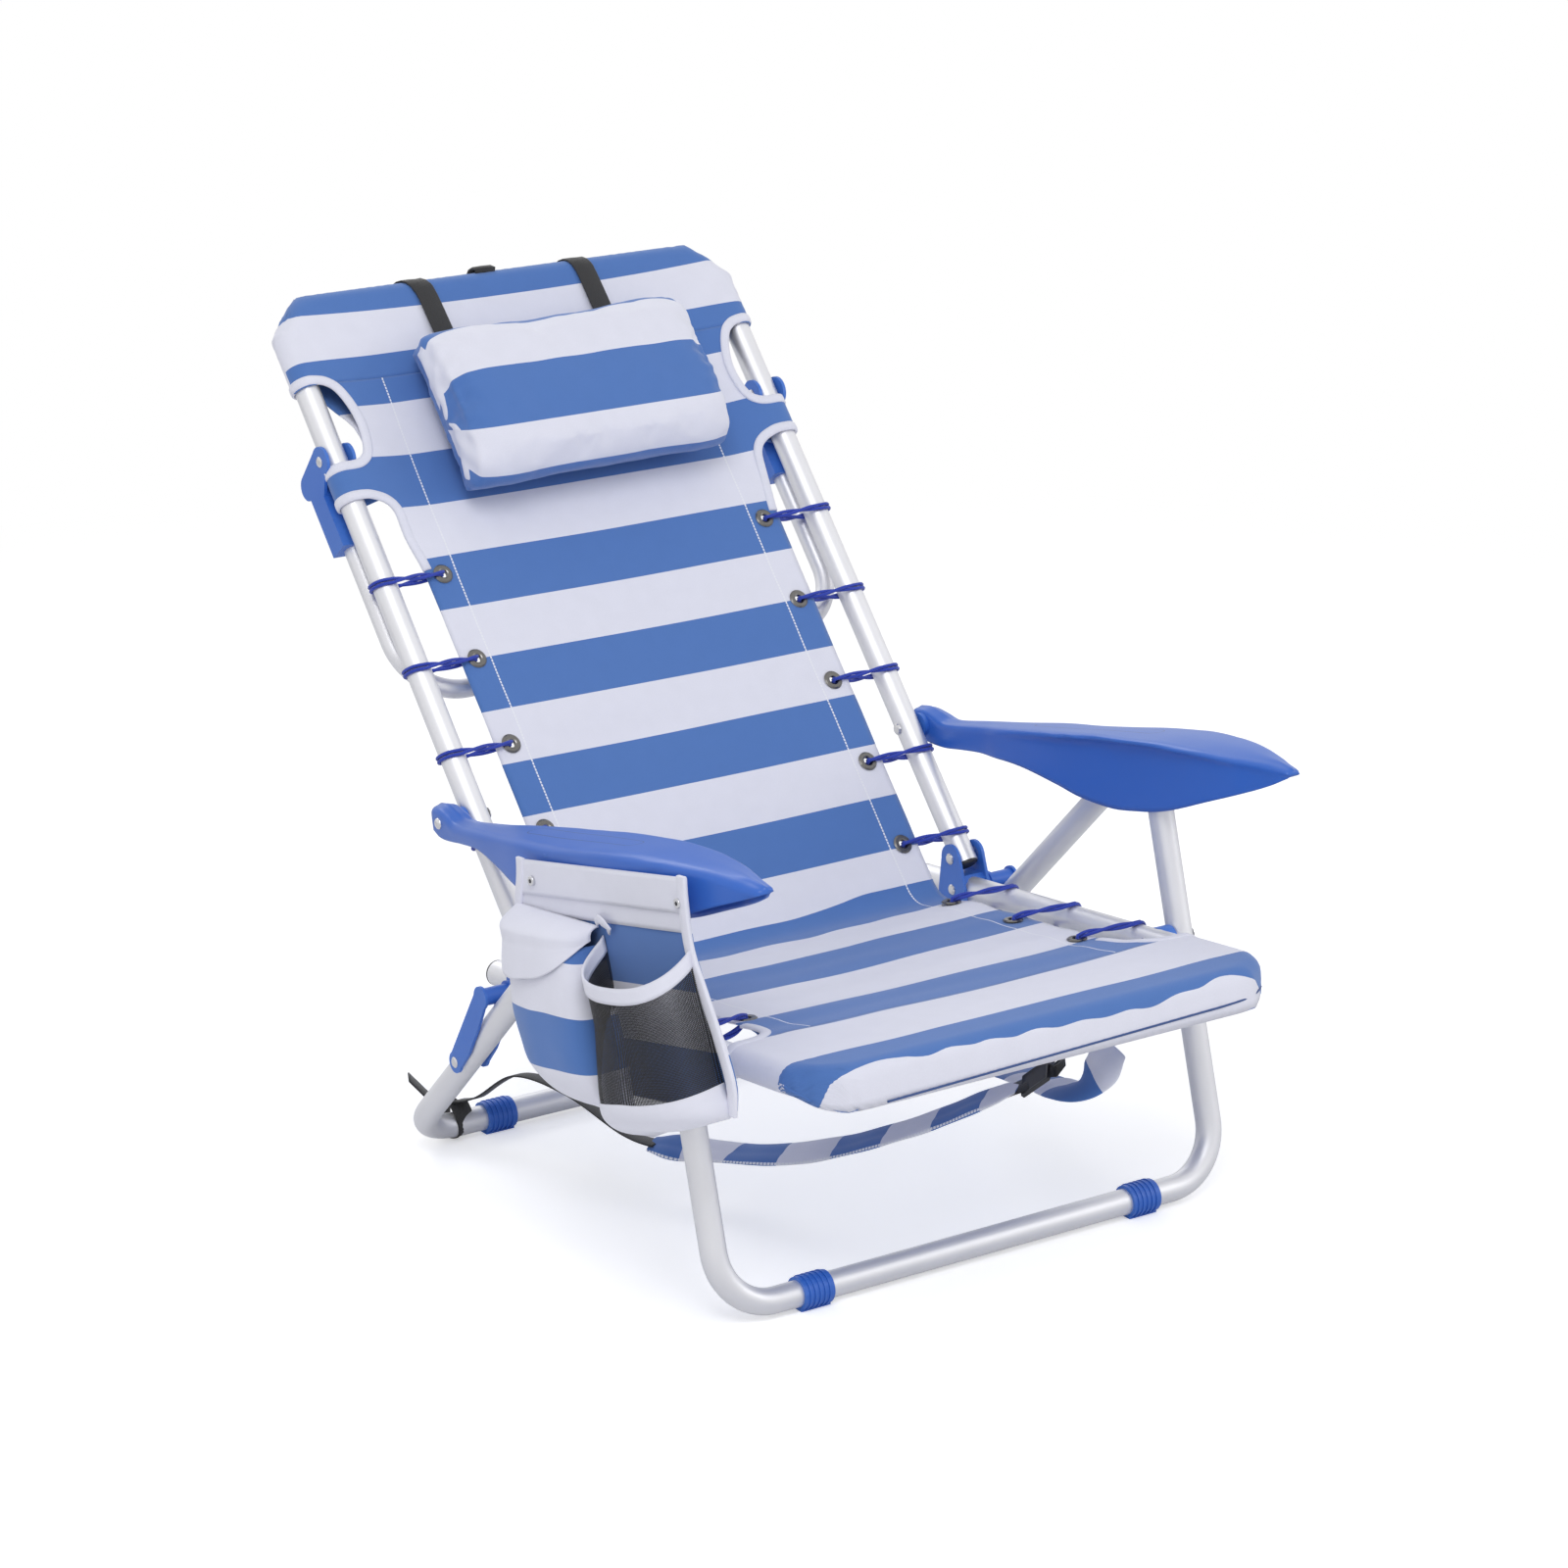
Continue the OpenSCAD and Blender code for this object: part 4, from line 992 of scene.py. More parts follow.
def railWrap(sign, t, first, last, r=14.6, steps=12):  # round the outside of a rail, angles from its front
    spots = []
    for k in range(steps + 1):
        a = math.radians(mix(first, last, k / steps))
        x = sign * (tube["rail"] + r * math.sin(a))
        spots.append((x, t, r * math.cos(a), sign * math.sin(a), math.cos(a)))
    return spots


def makeBinding(name, placeAt, spots, body):  # spots are x, t, n and the way up there
    points = [placeAt(x, t, n) for x, t, n, a, b in spots]
    origin = placeAt(0, 0, 0)
    ups = [(placeAt(a, 0, b) - origin).normalized() for x, t, n, a, b in spots]
    rough = smoothPath(points, bindingFacts["step"] * mm)
    roughUps = []
    j = 0
    for point in rough:
        j = min(range(max(0, j - 1), min(len(points), j + 3)), key=lambda k: (points[k] - point).length)
        roughUps.append(ups[j])

    def section(length):
        crimp = 0.35 * math.sin(length / mm * 1.9) + 0.5 * waves(length * 120, 4.0)
        return bindingSection(crimp)

    shape = ribbonShape(rough, roughUps, section)
    piece = finishMesh(name, shape, "binding", body, outwards=True)


def mirrored(spots):
    return [(-x, t, n, -a, b) for x, t, n, a, b in spots][::-1]


def onSheet(rows, level):
    return [(x, t, level(x, t), 0, 1) for x, t in rows]


upperCut = [(245, 612.5), (240, 610.5), (234, 606), (229, 598), (224.5, 586), (221.5, 572), (221, 560),
            (222.5, 548), (225, 538), (229, 531), (236, 526.5), (244, 525)]
lowerCut = [(243, 485), (234, 483), (225, 479.5), (218.5, 474), (215, 466), (214, 455), (213, 441),
            (211, 427), (209, 415), (207.5, 403)]
seatCut = [(207.2, 96), (207.5, 110), (209, 124), (213, 137), (219, 147), (228, 153.5), (240, 157)]
edges = {
    "upperCutBinding": (onBack, railWrap(1, 614, 150, 6) + onSheet(upperCut, backLevel)
                        + railWrap(1, 525, 6, 165), "back"),
    "lowerCutBinding": (onBack, railWrap(1, 485, 165, 6) + onSheet(lowerCut, backLevel), "back"),
    "seatCutBinding": (onBag, onSheet(seatCut, bagLevel) + railWrap(1, 158.5, 0, 160), "seat"),
}
for edgeName, (placeAt, spots, body) in edges.items():
    makeBinding(edgeName + "Right", placeAt, spots, body)
    makeBinding(edgeName + "Left", placeAt, mirrored(spots), body)
print("edges bound")


# lacing: elastic cord in twisted pairs, from each eyelet round the rail and back
lacing = {"cord": 3.4, "twist": 36, "apart": 1.65}

def laceShape(shape, placeAt, s, sign, facts):
    r = tube["radius"] + lacing["cord"] / 2 + 0.15
    z, shift, x = facts["level"], facts["shift"], eyelets["across"]
    half = tube["rail"]
    spots = [(x + 1, 0, z - 2), (x + 1.5, 0, z + 3.4), (x + 6, shift * 0.04, z + 4.4)]
    spots += [(x + 18, shift * 0.15, z + 6), (half - 13, shift * 0.42, r * 0.96)]
    for k in range(9):
        a = math.radians(88 - k * 176 / 8)
        spots.append((half + r * math.cos(a), shift * (0.5 - k / 8), r * math.sin(a)))
    spots += [(half - 13, -shift * 0.42, -r * 0.96), (x + 18, -shift * 0.15, min(z, 2) - 7)]
    spots += [(x + 6, 0, z - 4.6), (x + 1.5, 0, z - 3.4), (x + 1, 0, z + 2)]
    origin = placeAt(0, 0, 0)
    points = smoothPath([placeAt(sign * a, s + b, c) for a, b, c in spots], 2.4 * mm)
    alongRail = (placeAt(0, 1, 0) - origin).normalized()
    rail = placeAt(sign * half, s, 0)
    lengths = runningLengths(points, mm)

    def offRail(point):
        gap = point - rail
        flat = gap - alongRail * gap.dot(alongRail)
        return math.hypot(gap.x / mm, flat.cross(Vector((1, 0, 0))).length / mm)

    touching = [i for i, point in enumerate(points) if offRail(point) < r + 1.2]
    first, last = lengths[touching[0]], lengths[touching[-1]]
    sides = ringSection(lacing["cord"] / 2, 8)
    for strand in (-1, 1):
        route, ups = [], []
        for i, point in enumerate(points):
            ahead = (points[min(i + 1, len(points) - 1)] - points[max(i - 1, 0)]).normalized()
            across = ahead.cross(alongRail).normalized()
            free = max(first - lengths[i], lengths[i] - last, 0)
            turn = math.pi * free / lacing["twist"]
            wide = lacing["apart"] * (1 if free else 1.25)
            way = alongRail * math.cos(turn) + across * math.sin(turn)
            route.append(point + way * (strand * wide * mm))
            ups.append(across)
        ribbonShape(route, ups, sides, shape)


def makeLacing(name, placeAt, facts, body, node):
    shape = bmesh.new()
    for s in facts["places"]:
        for sign in (-1, 1):
            laceShape(shape, placeAt, s, sign, facts)
    piece = finishMesh(name, shape, "cord", body, outwards=True)
    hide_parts(node)


makeLacing("backLacing", onBack, backLaces, "back", "back_cords")
makeLacing("seatLacing", onSeat, seatLaces, "seat", "seat_cords")
print("laced")


# pillow
pillow = {"middle": 6, "half": 153, "up": 549, "tall": 89, "base": 17.5, "deep": 60, "cap": 6,
          "voxel": 4.6}


def pillowSection(b, c):  # b and c from -1 to 1 on a square, to a D with its flat towards the back
    length = max(abs(b), abs(c)) or 1
    angle = math.atan2(c, b)
    circle = Vector((math.cos(angle), math.sin(angle))) * length
    square = Vector((b, c))
    spot = square.lerp(circle, 0.62 if c > 0 else 0.25 + 0.37 * (1 + c) * abs(1 + c))
    taper = 1 - 0.05 * max(spot.y, 0) ** 2
    return spot.x * pillow["tall"] * taper, pillow["base"] + (spot.y + 1) / 2 * pillow["deep"]


def pillowStart():
    shape = bmesh.new()
    bmesh.ops.create_cube(shape, size=2)
    bmesh.ops.subdivide_edges(shape, edges=shape.edges, cuts=15, use_grid_fill=True)
    for vert in shape.verts:
        a, b, c = vert.co
        up, out = pillowSection(b, c)
        end = smooth(0.8, 1.0, abs(a))
        pull = 1 - 0.1 * end * (0.4 + 0.6 * (c + 1) / 2)
        x = pillow["half"] * a - math.copysign(3 * (1 - max(abs(b), abs(c)) ** 2) * -end, a)
        vert.co = onBack(pillow["middle"] + x, pillow["up"] + 2.5 * a + up * pull,
                         pillow["base"] + (out - pillow["base"]) * pull)
    bmesh.ops.recalc_face_normals(shape, faces=shape.faces)
    piece = link("headPillow", toMesh(shape, "headPillow"))
    addModifier(piece, "REMESH", mode="VOXEL", voxel_size=pillow["voxel"] * mm)
    bake(piece)
    return piece


def inflate(piece, cap, frames=20):
    before = [vert.co.copy() for vert in piece.data.vertices]
    cloth = piece.modifiers.new("cloth", "CLOTH")
    cloth.settings.use_pressure = True
    cloth.settings.uniform_pressure_force = 4
    cloth.settings.effector_weights.gravity = 0
    cloth.settings.quality = 5
    cloth.settings.tension_stiffness = 20
    cloth.settings.compression_stiffness = 20
    cloth.settings.bending_stiffness = 0.3
    scene = bpy.context.scene
    for number in range(1, frames + 1):
        scene.frame_set(number)
        piece.evaluated_get(bpy.context.evaluated_depsgraph_get())
    bake(piece)
    scene.frame_set(1)
    for vert, start in zip(piece.data.vertices, before):
        move = vert.co - start
        if move.length > cap * mm:
            vert.co = start + move * (cap * mm / move.length)


def pillowArcTable():  # length round the front against the angle seen from behind its back
    table, length, before = [], 0.0, None
    for k in range(-40, 41):
        up, out = pillowSection(math.sin(k * math.pi / 80), math.cos(k * math.pi / 80) * 2 - 1)
        spot = Vector((up, out - pillow["base"] + 12))
        length += (spot - before).length if before else 0
        before = spot
        table.append([math.degrees(math.atan2(spot.x, spot.y)), length])
    return [[a, b - length / 2] for a, b in table]


pillowStripes = [[-170, -3.2], [-80, -1], [-37, 0], [19, 1], [70, 2], [170, 4.2]]


def sewPillow(piece):  # seams, puckers and stripes after the filling
    base, middle = pillow["base"], pillow["middle"]
    edge = pillow["half"] - 3
    for vert in piece.data.vertices:
        x, up, out = backLocal(vert.co)
        low = smooth(base + 7, base, out)
        off = abs(abs(x - middle) - edge)
        around = math.atan2(up - pillow["up"], out - base - 20) * 46
        crimp = math.sin(around * 0.42 + 1.5 * waves(around * 0.05, x)) * smooth(26, 3, off)
        groove = -1.7 * math.exp(-(off / 2.6) ** 2)
        seam = -1.5 * math.exp(-((out - base - 9) / 2.4) ** 2)
        vert.co += vert.normal * ((crimp * 1.1 + groove + seam * 0.8) * (1 - low) * mm)
        soft = 1.1 * waves(x * 0.03, up * 0.03, out * 0.03)
        vert.co += vert.normal * (soft * mm)
        x, up, out = backLocal(vert.co)
        if out < base:
            vert.co = onBack(x, up, base + 0.2 * (out - base))
    addModifier(piece, "SUBSURF", levels=1, render_levels=1)
    bake(piece)
    mesh = piece.data
    pillowArcs = pillowArcTable()
    cloth = mesh.uv_layers.new(name="cloth")
    stripe = mesh.uv_layers.new(name="stripe")
    mesh.uv_layers.active = cloth
    for face in mesh.polygons:
        face.use_smooth = True
        gusset = abs(face.normal.x) > 0.75
        for index in face.loop_indices:
            x, up, out = backLocal(mesh.vertices[mesh.loops[index].vertex_index].co)
            height = out - base
            lift = up - pillow["up"]
            arc = track(pillowArcs, math.degrees(math.atan2(lift, max(height, 0) + 12)))
            cloth.data[index].uv = (height * mm, lift * mm) if gusset else (x * mm, arc * mm)
            stripe.data[index].uv = (track(pillowStripes, arc), height / 10)


def pillowMaterial():
    made = clothMaterial("pillowCloth", mottle=0.14)
    nodes, links, tree = made.node_tree.nodes, made.node_tree.links, made.node_tree
    spread = splitVector(tree, addNode(tree, "TexCoord").outputs["Object"])
    middle = onBack(pillow["middle"], 0, 0).x
    off = calculate(tree, "ABSOLUTE", calculate(tree, "SUBTRACT", spread["X"], middle))
    gusset = calculate(tree, "GREATER_THAN", off, (pillow["half"] - 3) * mm)
    number = next(node for node in nodes if node.type == "SEPXYZ" and node.inputs[0].links
                  and getattr(node.inputs[0].links[0].from_node, "uv_map", "") == "stripe")
    back = calculate(tree, "LESS_THAN", number.outputs["Y"], 1.45)
    choose = next(node for node in nodes if node.type == "MIX" and node.inputs[0].links
                  and getattr(node.inputs[0].links[0].from_node, "operation", "") == "LESS_THAN")
    isBlue = choose.inputs[0].links[0].from_socket
    front = calculate(tree, "MULTIPLY", isBlue, calculate(tree, "SUBTRACT", 1.0, gusset))
    links.new(calculate(tree, "MAXIMUM", front, back), choose.inputs[0])
    return made


def makePillow():
    piece = pillowStart()
    inflate(piece, pillow["cap"])
    sewPillow(piece)
    materials["pillow"] = pillowMaterial()
    paint(piece, "pillow")
    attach(piece, "back")
    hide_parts("pillow")


makePillow()
print("pillow filled")


# pillow straps and hanging tab
headStraps = {"places": (-97, 93), "wide": 22.4, "thick": 1.5, "lift": 16.6, "from": 585, "to": 640,
              "slants": (-26, -17)}
hangLoop = {"at": -15, "wide": 23, "thick": 2.4, "reach": 15.4, "lift": 5}


def flatBand(wide, thick, crown=0.3):
    h, t = wide / 2, thick / 2
    return [(-h, -t * 0.5), (-h, t * 0.5), (-h + 0.8, t), (0, t + crown), (h - 0.8, t), (h, t * 0.5),
            (h, -t * 0.5), (h - 0.8, -t), (0, -t + crown), (-h + 0.8, -t)]


def overBar(x, fromUp, toUp, r, slant=0.0, lift=0.0):
    bar = tube["topBar"]
    spots = [(fromUp, r - 1, 0, 1), ((fromUp + bar) / 2, r, 0, 1), (bar - 10, r, 0, 1)]
    for k in range(9):
        a = math.radians(90 - k * 180 / 8)
        reach = r + lift * math.sin(math.pi * k / 8)
        spots.append((bar + reach * math.cos(a), reach * math.sin(a), math.cos(a), math.sin(a)))
    spots += [(bar - 10, -r, 0, -1), (toUp, -r, 0, -1)]
    origin = onBack(0, 0, 0)
    points = [onBack(x + slant * (i / (len(spots) - 1) - 0.3), s, n) for i, (s, n, a, b) in enumerate(spots)]
    ups = [(onBack(0, a, b) - origin).normalized() for s, n, a, b in spots]
    return points, ups


def bandPiece(name, points, ups, section):
    route = smoothPath(points, 4 * mm)
    turned = []
    for point in route:
        order = sorted(range(len(points)), key=lambda k: (points[k] - point).length)[:2]
        near = [(points[k] - point).length + 1e-6 for k in order]
        turned.append((ups[order[0]] / near[0] + ups[order[1]] / near[1]).normalized())
    piece = finishMesh(name, ribbonShape(route, turned, section), "webbing", "back", outwards=True)
    return piece


for name, x, slant in zip(("Left", "Right"), headStraps["places"], headStraps["slants"]):
    points, ups = overBar(x, headStraps["from"], headStraps["to"], headStraps["lift"], slant=slant)
    band = bandPiece("pillowStrap" + name, points, ups, flatBand(headStraps["wide"], headStraps["thick"]))
    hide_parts("pillow_straps")
points, ups = overBar(hangLoop["at"], 700, 690, hangLoop["reach"], lift=hangLoop["lift"])
points[4] = onBack(hangLoop["at"], tube["topBar"] + 9, 7)
tab = bandPiece("hangTab", points[4:-1], ups[4:-1], flatBand(hangLoop["wide"], hangLoop["thick"]))
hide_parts("hang_tab")
print("head straps on")


# armrests: one hollow moulding each, with a thin groove round the top pad, darkened with painted shade
armrest = {"wall": 2.4, "around": 44, "rows": 96, "first": -262, "last": 298, "groove": (-66, 118, 9.5)}
rack = {"inner": (15, 23.5), "outer": (59.6, 74), "pitch": 23, "notches": 4, "root": 6.4, "notch": 5.2,
        "top": 15, "cover": 7.5, "pin": (-38.8, 404.1), "hubRadius": 11.8, "hubDepth": 14.5, "hubOut": 20.5}
boltHead = {"radius": 5.6, "flat": 0.55, "at": (41.5, 282.9, 353.1)}
armTopIn = [[-262, 441], [-260, 442], [-248, 443.3], [-232, 443.6], [-200, 442], [-168, 440], [-150, 438.5],
            [-100, 433], [-50, 424.5], [0, 415.5], [50, 404.5], [100, 394], [150, 383], [200, 372],
            [250, 362.5], [268, 366], [284, 368.5], [298, 366]]
armTopOut = [[-262, 440.6], [-260, 441.6], [-246, 443], [-230, 444], [-193, 444.3], [-150, 441], [-119, 437],
             [-100, 434], [-50, 424], [0, 412.5], [50, 401.7], [100, 392.5], [150, 382], [200, 372],
             [250, 362.7], [268, 366], [284, 368], [298, 366]]
armInner = [[-262, 33], [-260, 31.8], [-252, 30.5], [-240, 28], [-217, 21.5], [-200, 16.5], [-168, 10.5],
            [-150, 7.5], [-100, 4], [-50, 3.5], [0, 5], [50, 6.5], [100, 9], [150, 12.9], [185, 17.6],
            [298, 17.6]]
armOuter = [[-262, 47], [-260, 48.5], [-252, 51], [-244, 53], [-230, 57.5], [-193, 66.5], [-150, 73.5],
            [-100, 77], [-50, 78], [0, 76], [50, 73], [100, 69], [150, 61], [200, 54], [250, 46], [298, 40]]
armWall = [[-262, 37], [-252, 31.5], [-240, 29.5], [-217, 24.5], [-200, 20], [-150, 14.4], [-100, 13.3],
           [150, 13.3], [185, 17.6], [298, 17.6]]
armLowIn = [[-262, 437], [-258, 433.5], [-237, 421.5], [-208, 408], [-166, 390], [-124, 372], [-95, 362],
            [-66, 355], [-36, 349], [-6, 347], [24, 347], [55, 350], [118, 353], [183, 348], [215, 343],
            [248, 337.5], [284, 338], [298, 342]]
armLowOut = [[-262, 437], [-258, 435], [-240, 427], [-213, 415.5], [-186, 403], [-166, 394], [-124, 374],
             [-95, 362], [-66, 354], [-36, 347], [-6, 343], [24, 342], [55, 342.5], [106, 346], [150, 351],
             [192, 354], [230, 348], [264, 341], [284, 339], [298, 342]]


def armSection(y):  # across and up, from the inner wall's foot over the top to the outer wall's foot
    inner, outer, wall = track(armInner, y), track(armOuter, y), track(armWall, y)
    topIn, topOut = track(armTopIn, y), track(armTopOut, y)
    lowIn, lowOut = track(armLowIn, y), track(armLowOut, y)
    span = outer - inner
    r = min(8.5, span / 3)
    spots = [(wall, lowIn), (wall, max(lowIn + 0.4, topIn - r * 1.4)),
             (inner, max(lowIn + 0.8, topIn - r * 0.55)), (inner + r * 0.3, topIn - r * 0.12),
             (inner + r, topIn + 0.4),
             (mix(inner, outer, 0.5), mix(topIn, topOut, 0.5) + 1.6), (outer - r, topOut + 0.2),
             (outer - r * 0.45, topOut - r * 0.14), (outer - r * 0.12, topOut - r * 0.45),
             (outer, max(lowOut + 0.5, topOut - r * 1.05)), (outer - min(2, span / 12), lowOut)]
    path = smoothPath([Vector((a, b, 0)) for a, b in spots], max(span, 20) / 60)
    lengths = runningLengths(path)
    resampled, j = [], 0
    for k in range(armrest["around"] + 1):
        want = lengths[-1] * k / armrest["around"]
        while j < len(path) - 2 and lengths[j + 1] < want:
            j += 1
        gap = lengths[j + 1] - lengths[j] or 1
        resampled.append(path[j].lerp(path[j + 1], min(1, (want - lengths[j]) / gap)))
    return [(p.x, p.y) for p in resampled]


def makeArmrest(name, sign, body):
    rows, around = armrest["rows"], armrest["around"]
    stations = []
    for j in range(rows + 1):
        g = j / rows
        g = g - 0.07 * math.sin(2 * math.pi * g)
        stations.append(mix(armrest["first"], armrest["last"], g))
    sections = [armSection(y) for y in stations]

    def place(f, g):
        j, k = round(g * rows), round(f * around)
        x, z = sections[j][k]
        return onSide(sign * (tube["rail"] + x), stations[j], z), x * mm, stations[j] * mm, 0.5

    shape = sheetShape(around, rows, place)
    for end in (armrest["first"], armrest["last"]):
        chain = [edge for edge in shape.edges if edge.is_boundary
                 and all(abs(vert.co.y - onSide(0, end, 0).y) < 0.00005 for vert in edge.verts)]
        bmesh.ops.contextual_create(shape, geom=chain)
    bmesh.ops.recalc_face_normals(shape, faces=shape.faces)
    top = max(shape.faces, key=lambda face: face.calc_center_median().z)
    if top.normal.z < 0:
        bmesh.ops.reverse_faces(shape, faces=shape.faces)
    piece = finishMesh(name, shape, "armPlastic", body)
    thicken(piece, armrest["wall"], -1)
    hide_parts(body)


def armPlasticMaterial():
    made = solidMaterial("armMoulding", mouldedBlue, 0.34, grain=(1100, 0.05), bump=0.14, edge=0.2,
                         edgeColour=(0.1, 0.27, 0.72))
    tree, nodes, links = made.node_tree, made.node_tree.nodes, made.node_tree.links
    shader = next(node for node in nodes if node.type == "BSDF_PRINCIPLED")
    bump = next(node for node in nodes if node.type == "BUMP")
    spread = splitVector(tree, uvOf(tree, "cloth"))
    low, high, half = armrest["groove"]
    middle, reach = (low + high) / 2 * mm, ((high - low) / 2 - half) * mm
    offMiddle = calculate(tree, "ABSOLUTE", calculate(tree, "SUBTRACT", spread["Y"], middle))
    past = calculate(tree, "MAXIMUM", calculate(tree, "SUBTRACT", offMiddle, reach), 0.0)
    centre = calculate(tree, "MULTIPLY_ADD", spread["Y"], -0.02, 0.041)
    across = calculate(tree, "SUBTRACT", spread["X"], centre)
    squares = calculate(tree, "ADD", calculate(tree, "MULTIPLY", past, past),
                        calculate(tree, "MULTIPLY", across, across))
    far = calculate(tree, "SQRT", squares)
    off = calculate(tree, "ABSOLUTE", calculate(tree, "SUBTRACT", far, half * mm))
    share = calculate(tree, "SUBTRACT", 1.0, calculate(tree, "DIVIDE", off, 0.0009))
    depth = calculate(tree, "MAXIMUM", share, 0.0)
    # painted shade: the groove is darkened by mixing in a dark blue along it, as well as being cut into the
    # bump
    base = shader.inputs["Base Color"].links[0].from_socket
    links.new(mixColour(tree, depth, base, (0.008, 0.04, 0.2)), shader.inputs["Base Color"])
    height = bump.inputs["Height"].links[0].from_socket
    cut = calculate(tree, "SUBTRACT", height, calculate(tree, "MULTIPLY", depth, 3.0))
    links.new(cut, bump.inputs["Height"])
    return made


def makeRack(name, sign, body):  # notched racks under the armrest and the hub round its bolt
    pivot = Vector((pivots["armrest_left_fold"].y, pivots["armrest_left_fold"].z))
    pin = Vector((onSide(0, rack["pin"][0], 0).y, onSide(0, 0, rack["pin"][1]).z))
    way = (pin - pivot).normalized()
    reach = (pin - pivot).length / mm
    up = Vector((-way.y, way.x)) if way.x > 0 else Vector((way.y, -way.x))
    shape = bmesh.new()
    first, last = reach - rack["pitch"] * (rack["notches"] - 1), reach + rack["pitch"]
    perNotch = 8
    steps = perNotch * rack["notches"]
    outline = []
    for k in range(-4, steps + 4):
        wave = 1 - math.cos(math.radians(360 / perNotch * k))
        outline.append((mix(first, last, k / steps), rack["root"] - rack["notch"] * wave / 2))
    outline += [(mix(last + 12, first - 12, k / 10), rack["top"]) for k in range(11)]
    for x0, x1 in (rack["inner"], rack["outer"]):
        verts = []
        for s, h in outline:
            yz = pivot + way * (s * mm) + up * (h * mm)
            y = (yz.x - onSide(0, 0, 0).y) / mm
            under = onSide(0, 0, min(track(armTopIn, y), track(armTopOut, y)) - rack["cover"]).z
            yz.y = min(yz.y, under)
            verts.append(shape.verts.new((onSide(sign * (tube["rail"] + x0), 0, 0).x, yz.x, yz.y)))
        face = shape.faces.new(verts)
        made = bmesh.ops.extrude_face_region(shape, geom=[face])["geom"]
        bmesh.ops.translate(shape, verts=only(made, bmesh.types.BMVert), vec=(sign * (x1 - x0) * mm, 0, 0))
    hub = Matrix.Translation((onSide(sign * (tube["rail"] + rack["hubOut"]), 0, 0).x, pivot.x, pivot.y))
    turn = Matrix.Rotation(math.radians(90), 4, "Y")
    radius = rack["hubRadius"] * mm
    bmesh.ops.create_cone(shape, cap_ends=True, segments=40, radius1=radius, radius2=radius,
                          depth=rack["hubDepth"] * mm, matrix=hub @ turn)
    piece = finishMesh(name, shape, "plastic", body, outwards=True)
    for face in piece.data.polygons:
        face.use_smooth = False
    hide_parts(body)


def makeBoltHead(name, sign, body):  # domed head of the pivot bolt on the outer side
    shape = bmesh.new()
    bmesh.ops.create_uvsphere(shape, u_segments=28, v_segments=14, radius=boltHead["radius"] * mm)
    bmesh.ops.scale(shape, verts=shape.verts, vec=(boltHead["flat"], 1, 1))
    out, y, z = boltHead["at"]
    bmesh.ops.translate(shape, verts=shape.verts, vec=onSide(sign * (tube["rail"] + out), y, z))
    piece = finishMesh(name, shape, "steel", body, outwards=True)


materials["armPlastic"] = armPlasticMaterial()
for armSide, sign in (("left", -1), ("right", 1)):
    makeArmrest("armMoulding" + armSide.title(), sign, "armrest_" + armSide)
    makeRack("armRack" + armSide.title(), sign, "armrest_" + armSide)
    makeBoltHead("armBolt" + armSide.title(), sign, "armrest_" + armSide)
print("armrests moulded")


# carrying strap: two padded bands, a web with its buckle, and the web's free tail
carry = {"stripe": 56, "web": 24, "tail": 22, "buckleWeb": 23, "thick": 1.8, "loopMiddle": (-243, 350, 19)}
buckleFacts = {"size": (34, 27, 5), "rim": 4, "recess": 1.4, "edge": 0.9, "at": (34, -219, 183.5),
               "from": (26, -205, 172), "to": (46, -240, 207)}
webFace = (0.25, -0.6, 0.75)
padSection = [(-23, 0), (-21, 1.8), (-13, 4.2), (-3, 4.5), (4, 3.0), (10, 4.1), (18, 3.0), (22, 1.2),
              (23, 0), (21, -1.8), (13, -4.2), (3, -4.5), (-4, -3.0), (-10, -4.1), (-18, -3.0), (-22, -1.2)]
carryRoutes = {
    "padLeft": [(-163, 124, 50), (-150, 106, 50), (-129, 80, 50), (-98, 10, 62), (-62, -50, 82),
                (-22, -120, 118), (7, -170, 150), (26, -205, 172)],
    "padRight": [(104, -248, 207), (90, -240, 184), (80, -226, 168), (84, -200, 155), (104, -150, 140),
                 (146, -70, 111), (186, 20, 84), (222, 110, 62)],
    "web": [(-240, 352, 37.5), (-229, 330, 46), (-205, 292, 76), (-184, 230, 72), (-172, 150, 55),
            (-158, 118, 50.5)],
    "loop": [(-250, 363, 24), (-247, 367, 12), (-242, 362, 5.4), (-238, 350, 5.4), (-238, 338, 12),
             (-240, 340, 26), (-241, 350, 37.4)],
    "tail": [(-241, 352, 38.6), (-247, 364, 34), (-258, 372, 38), (-268, 380, 50), (-276, 384, 60)],
    "buckleWeb": [(20, -196, 166), (29, -211, 176), (37, -223, 186), (43, -234, 197), (46, -241, 207)],
}


def carrySection(length, total):
    near = min(length, total - length) / mm
    k = 0.62 + 0.38 * smooth(0, 26, near)
    puff = 1 + 0.12 * math.sin(length / mm * 0.11) + 0.25 * waves(length * 25, 1.5)
    thin = 0.35 + 0.65 * smooth(0, 20, near)
    return [(a * k, b * puff * thin) for a, b in padSection]


def makePad(name, route, lean, first):
    points = smoothPath([onSide(*spot) for spot in carryRoutes[route]], 4 * mm)
    total = sum((b - a).length for a, b in zip(points, points[1:]))
    ups = [Vector(lean)] * len(points)
    shape = ribbonShape(points, ups, lambda length: carrySection(length, total),
                        stripe=lambda length: length / mm / carry["stripe"] + first)
    piece = finishMesh(name, shape, "padCloth", "seat", outwards=True)
    addModifier(piece, "SUBSURF", levels=1, render_levels=1)
    return piece


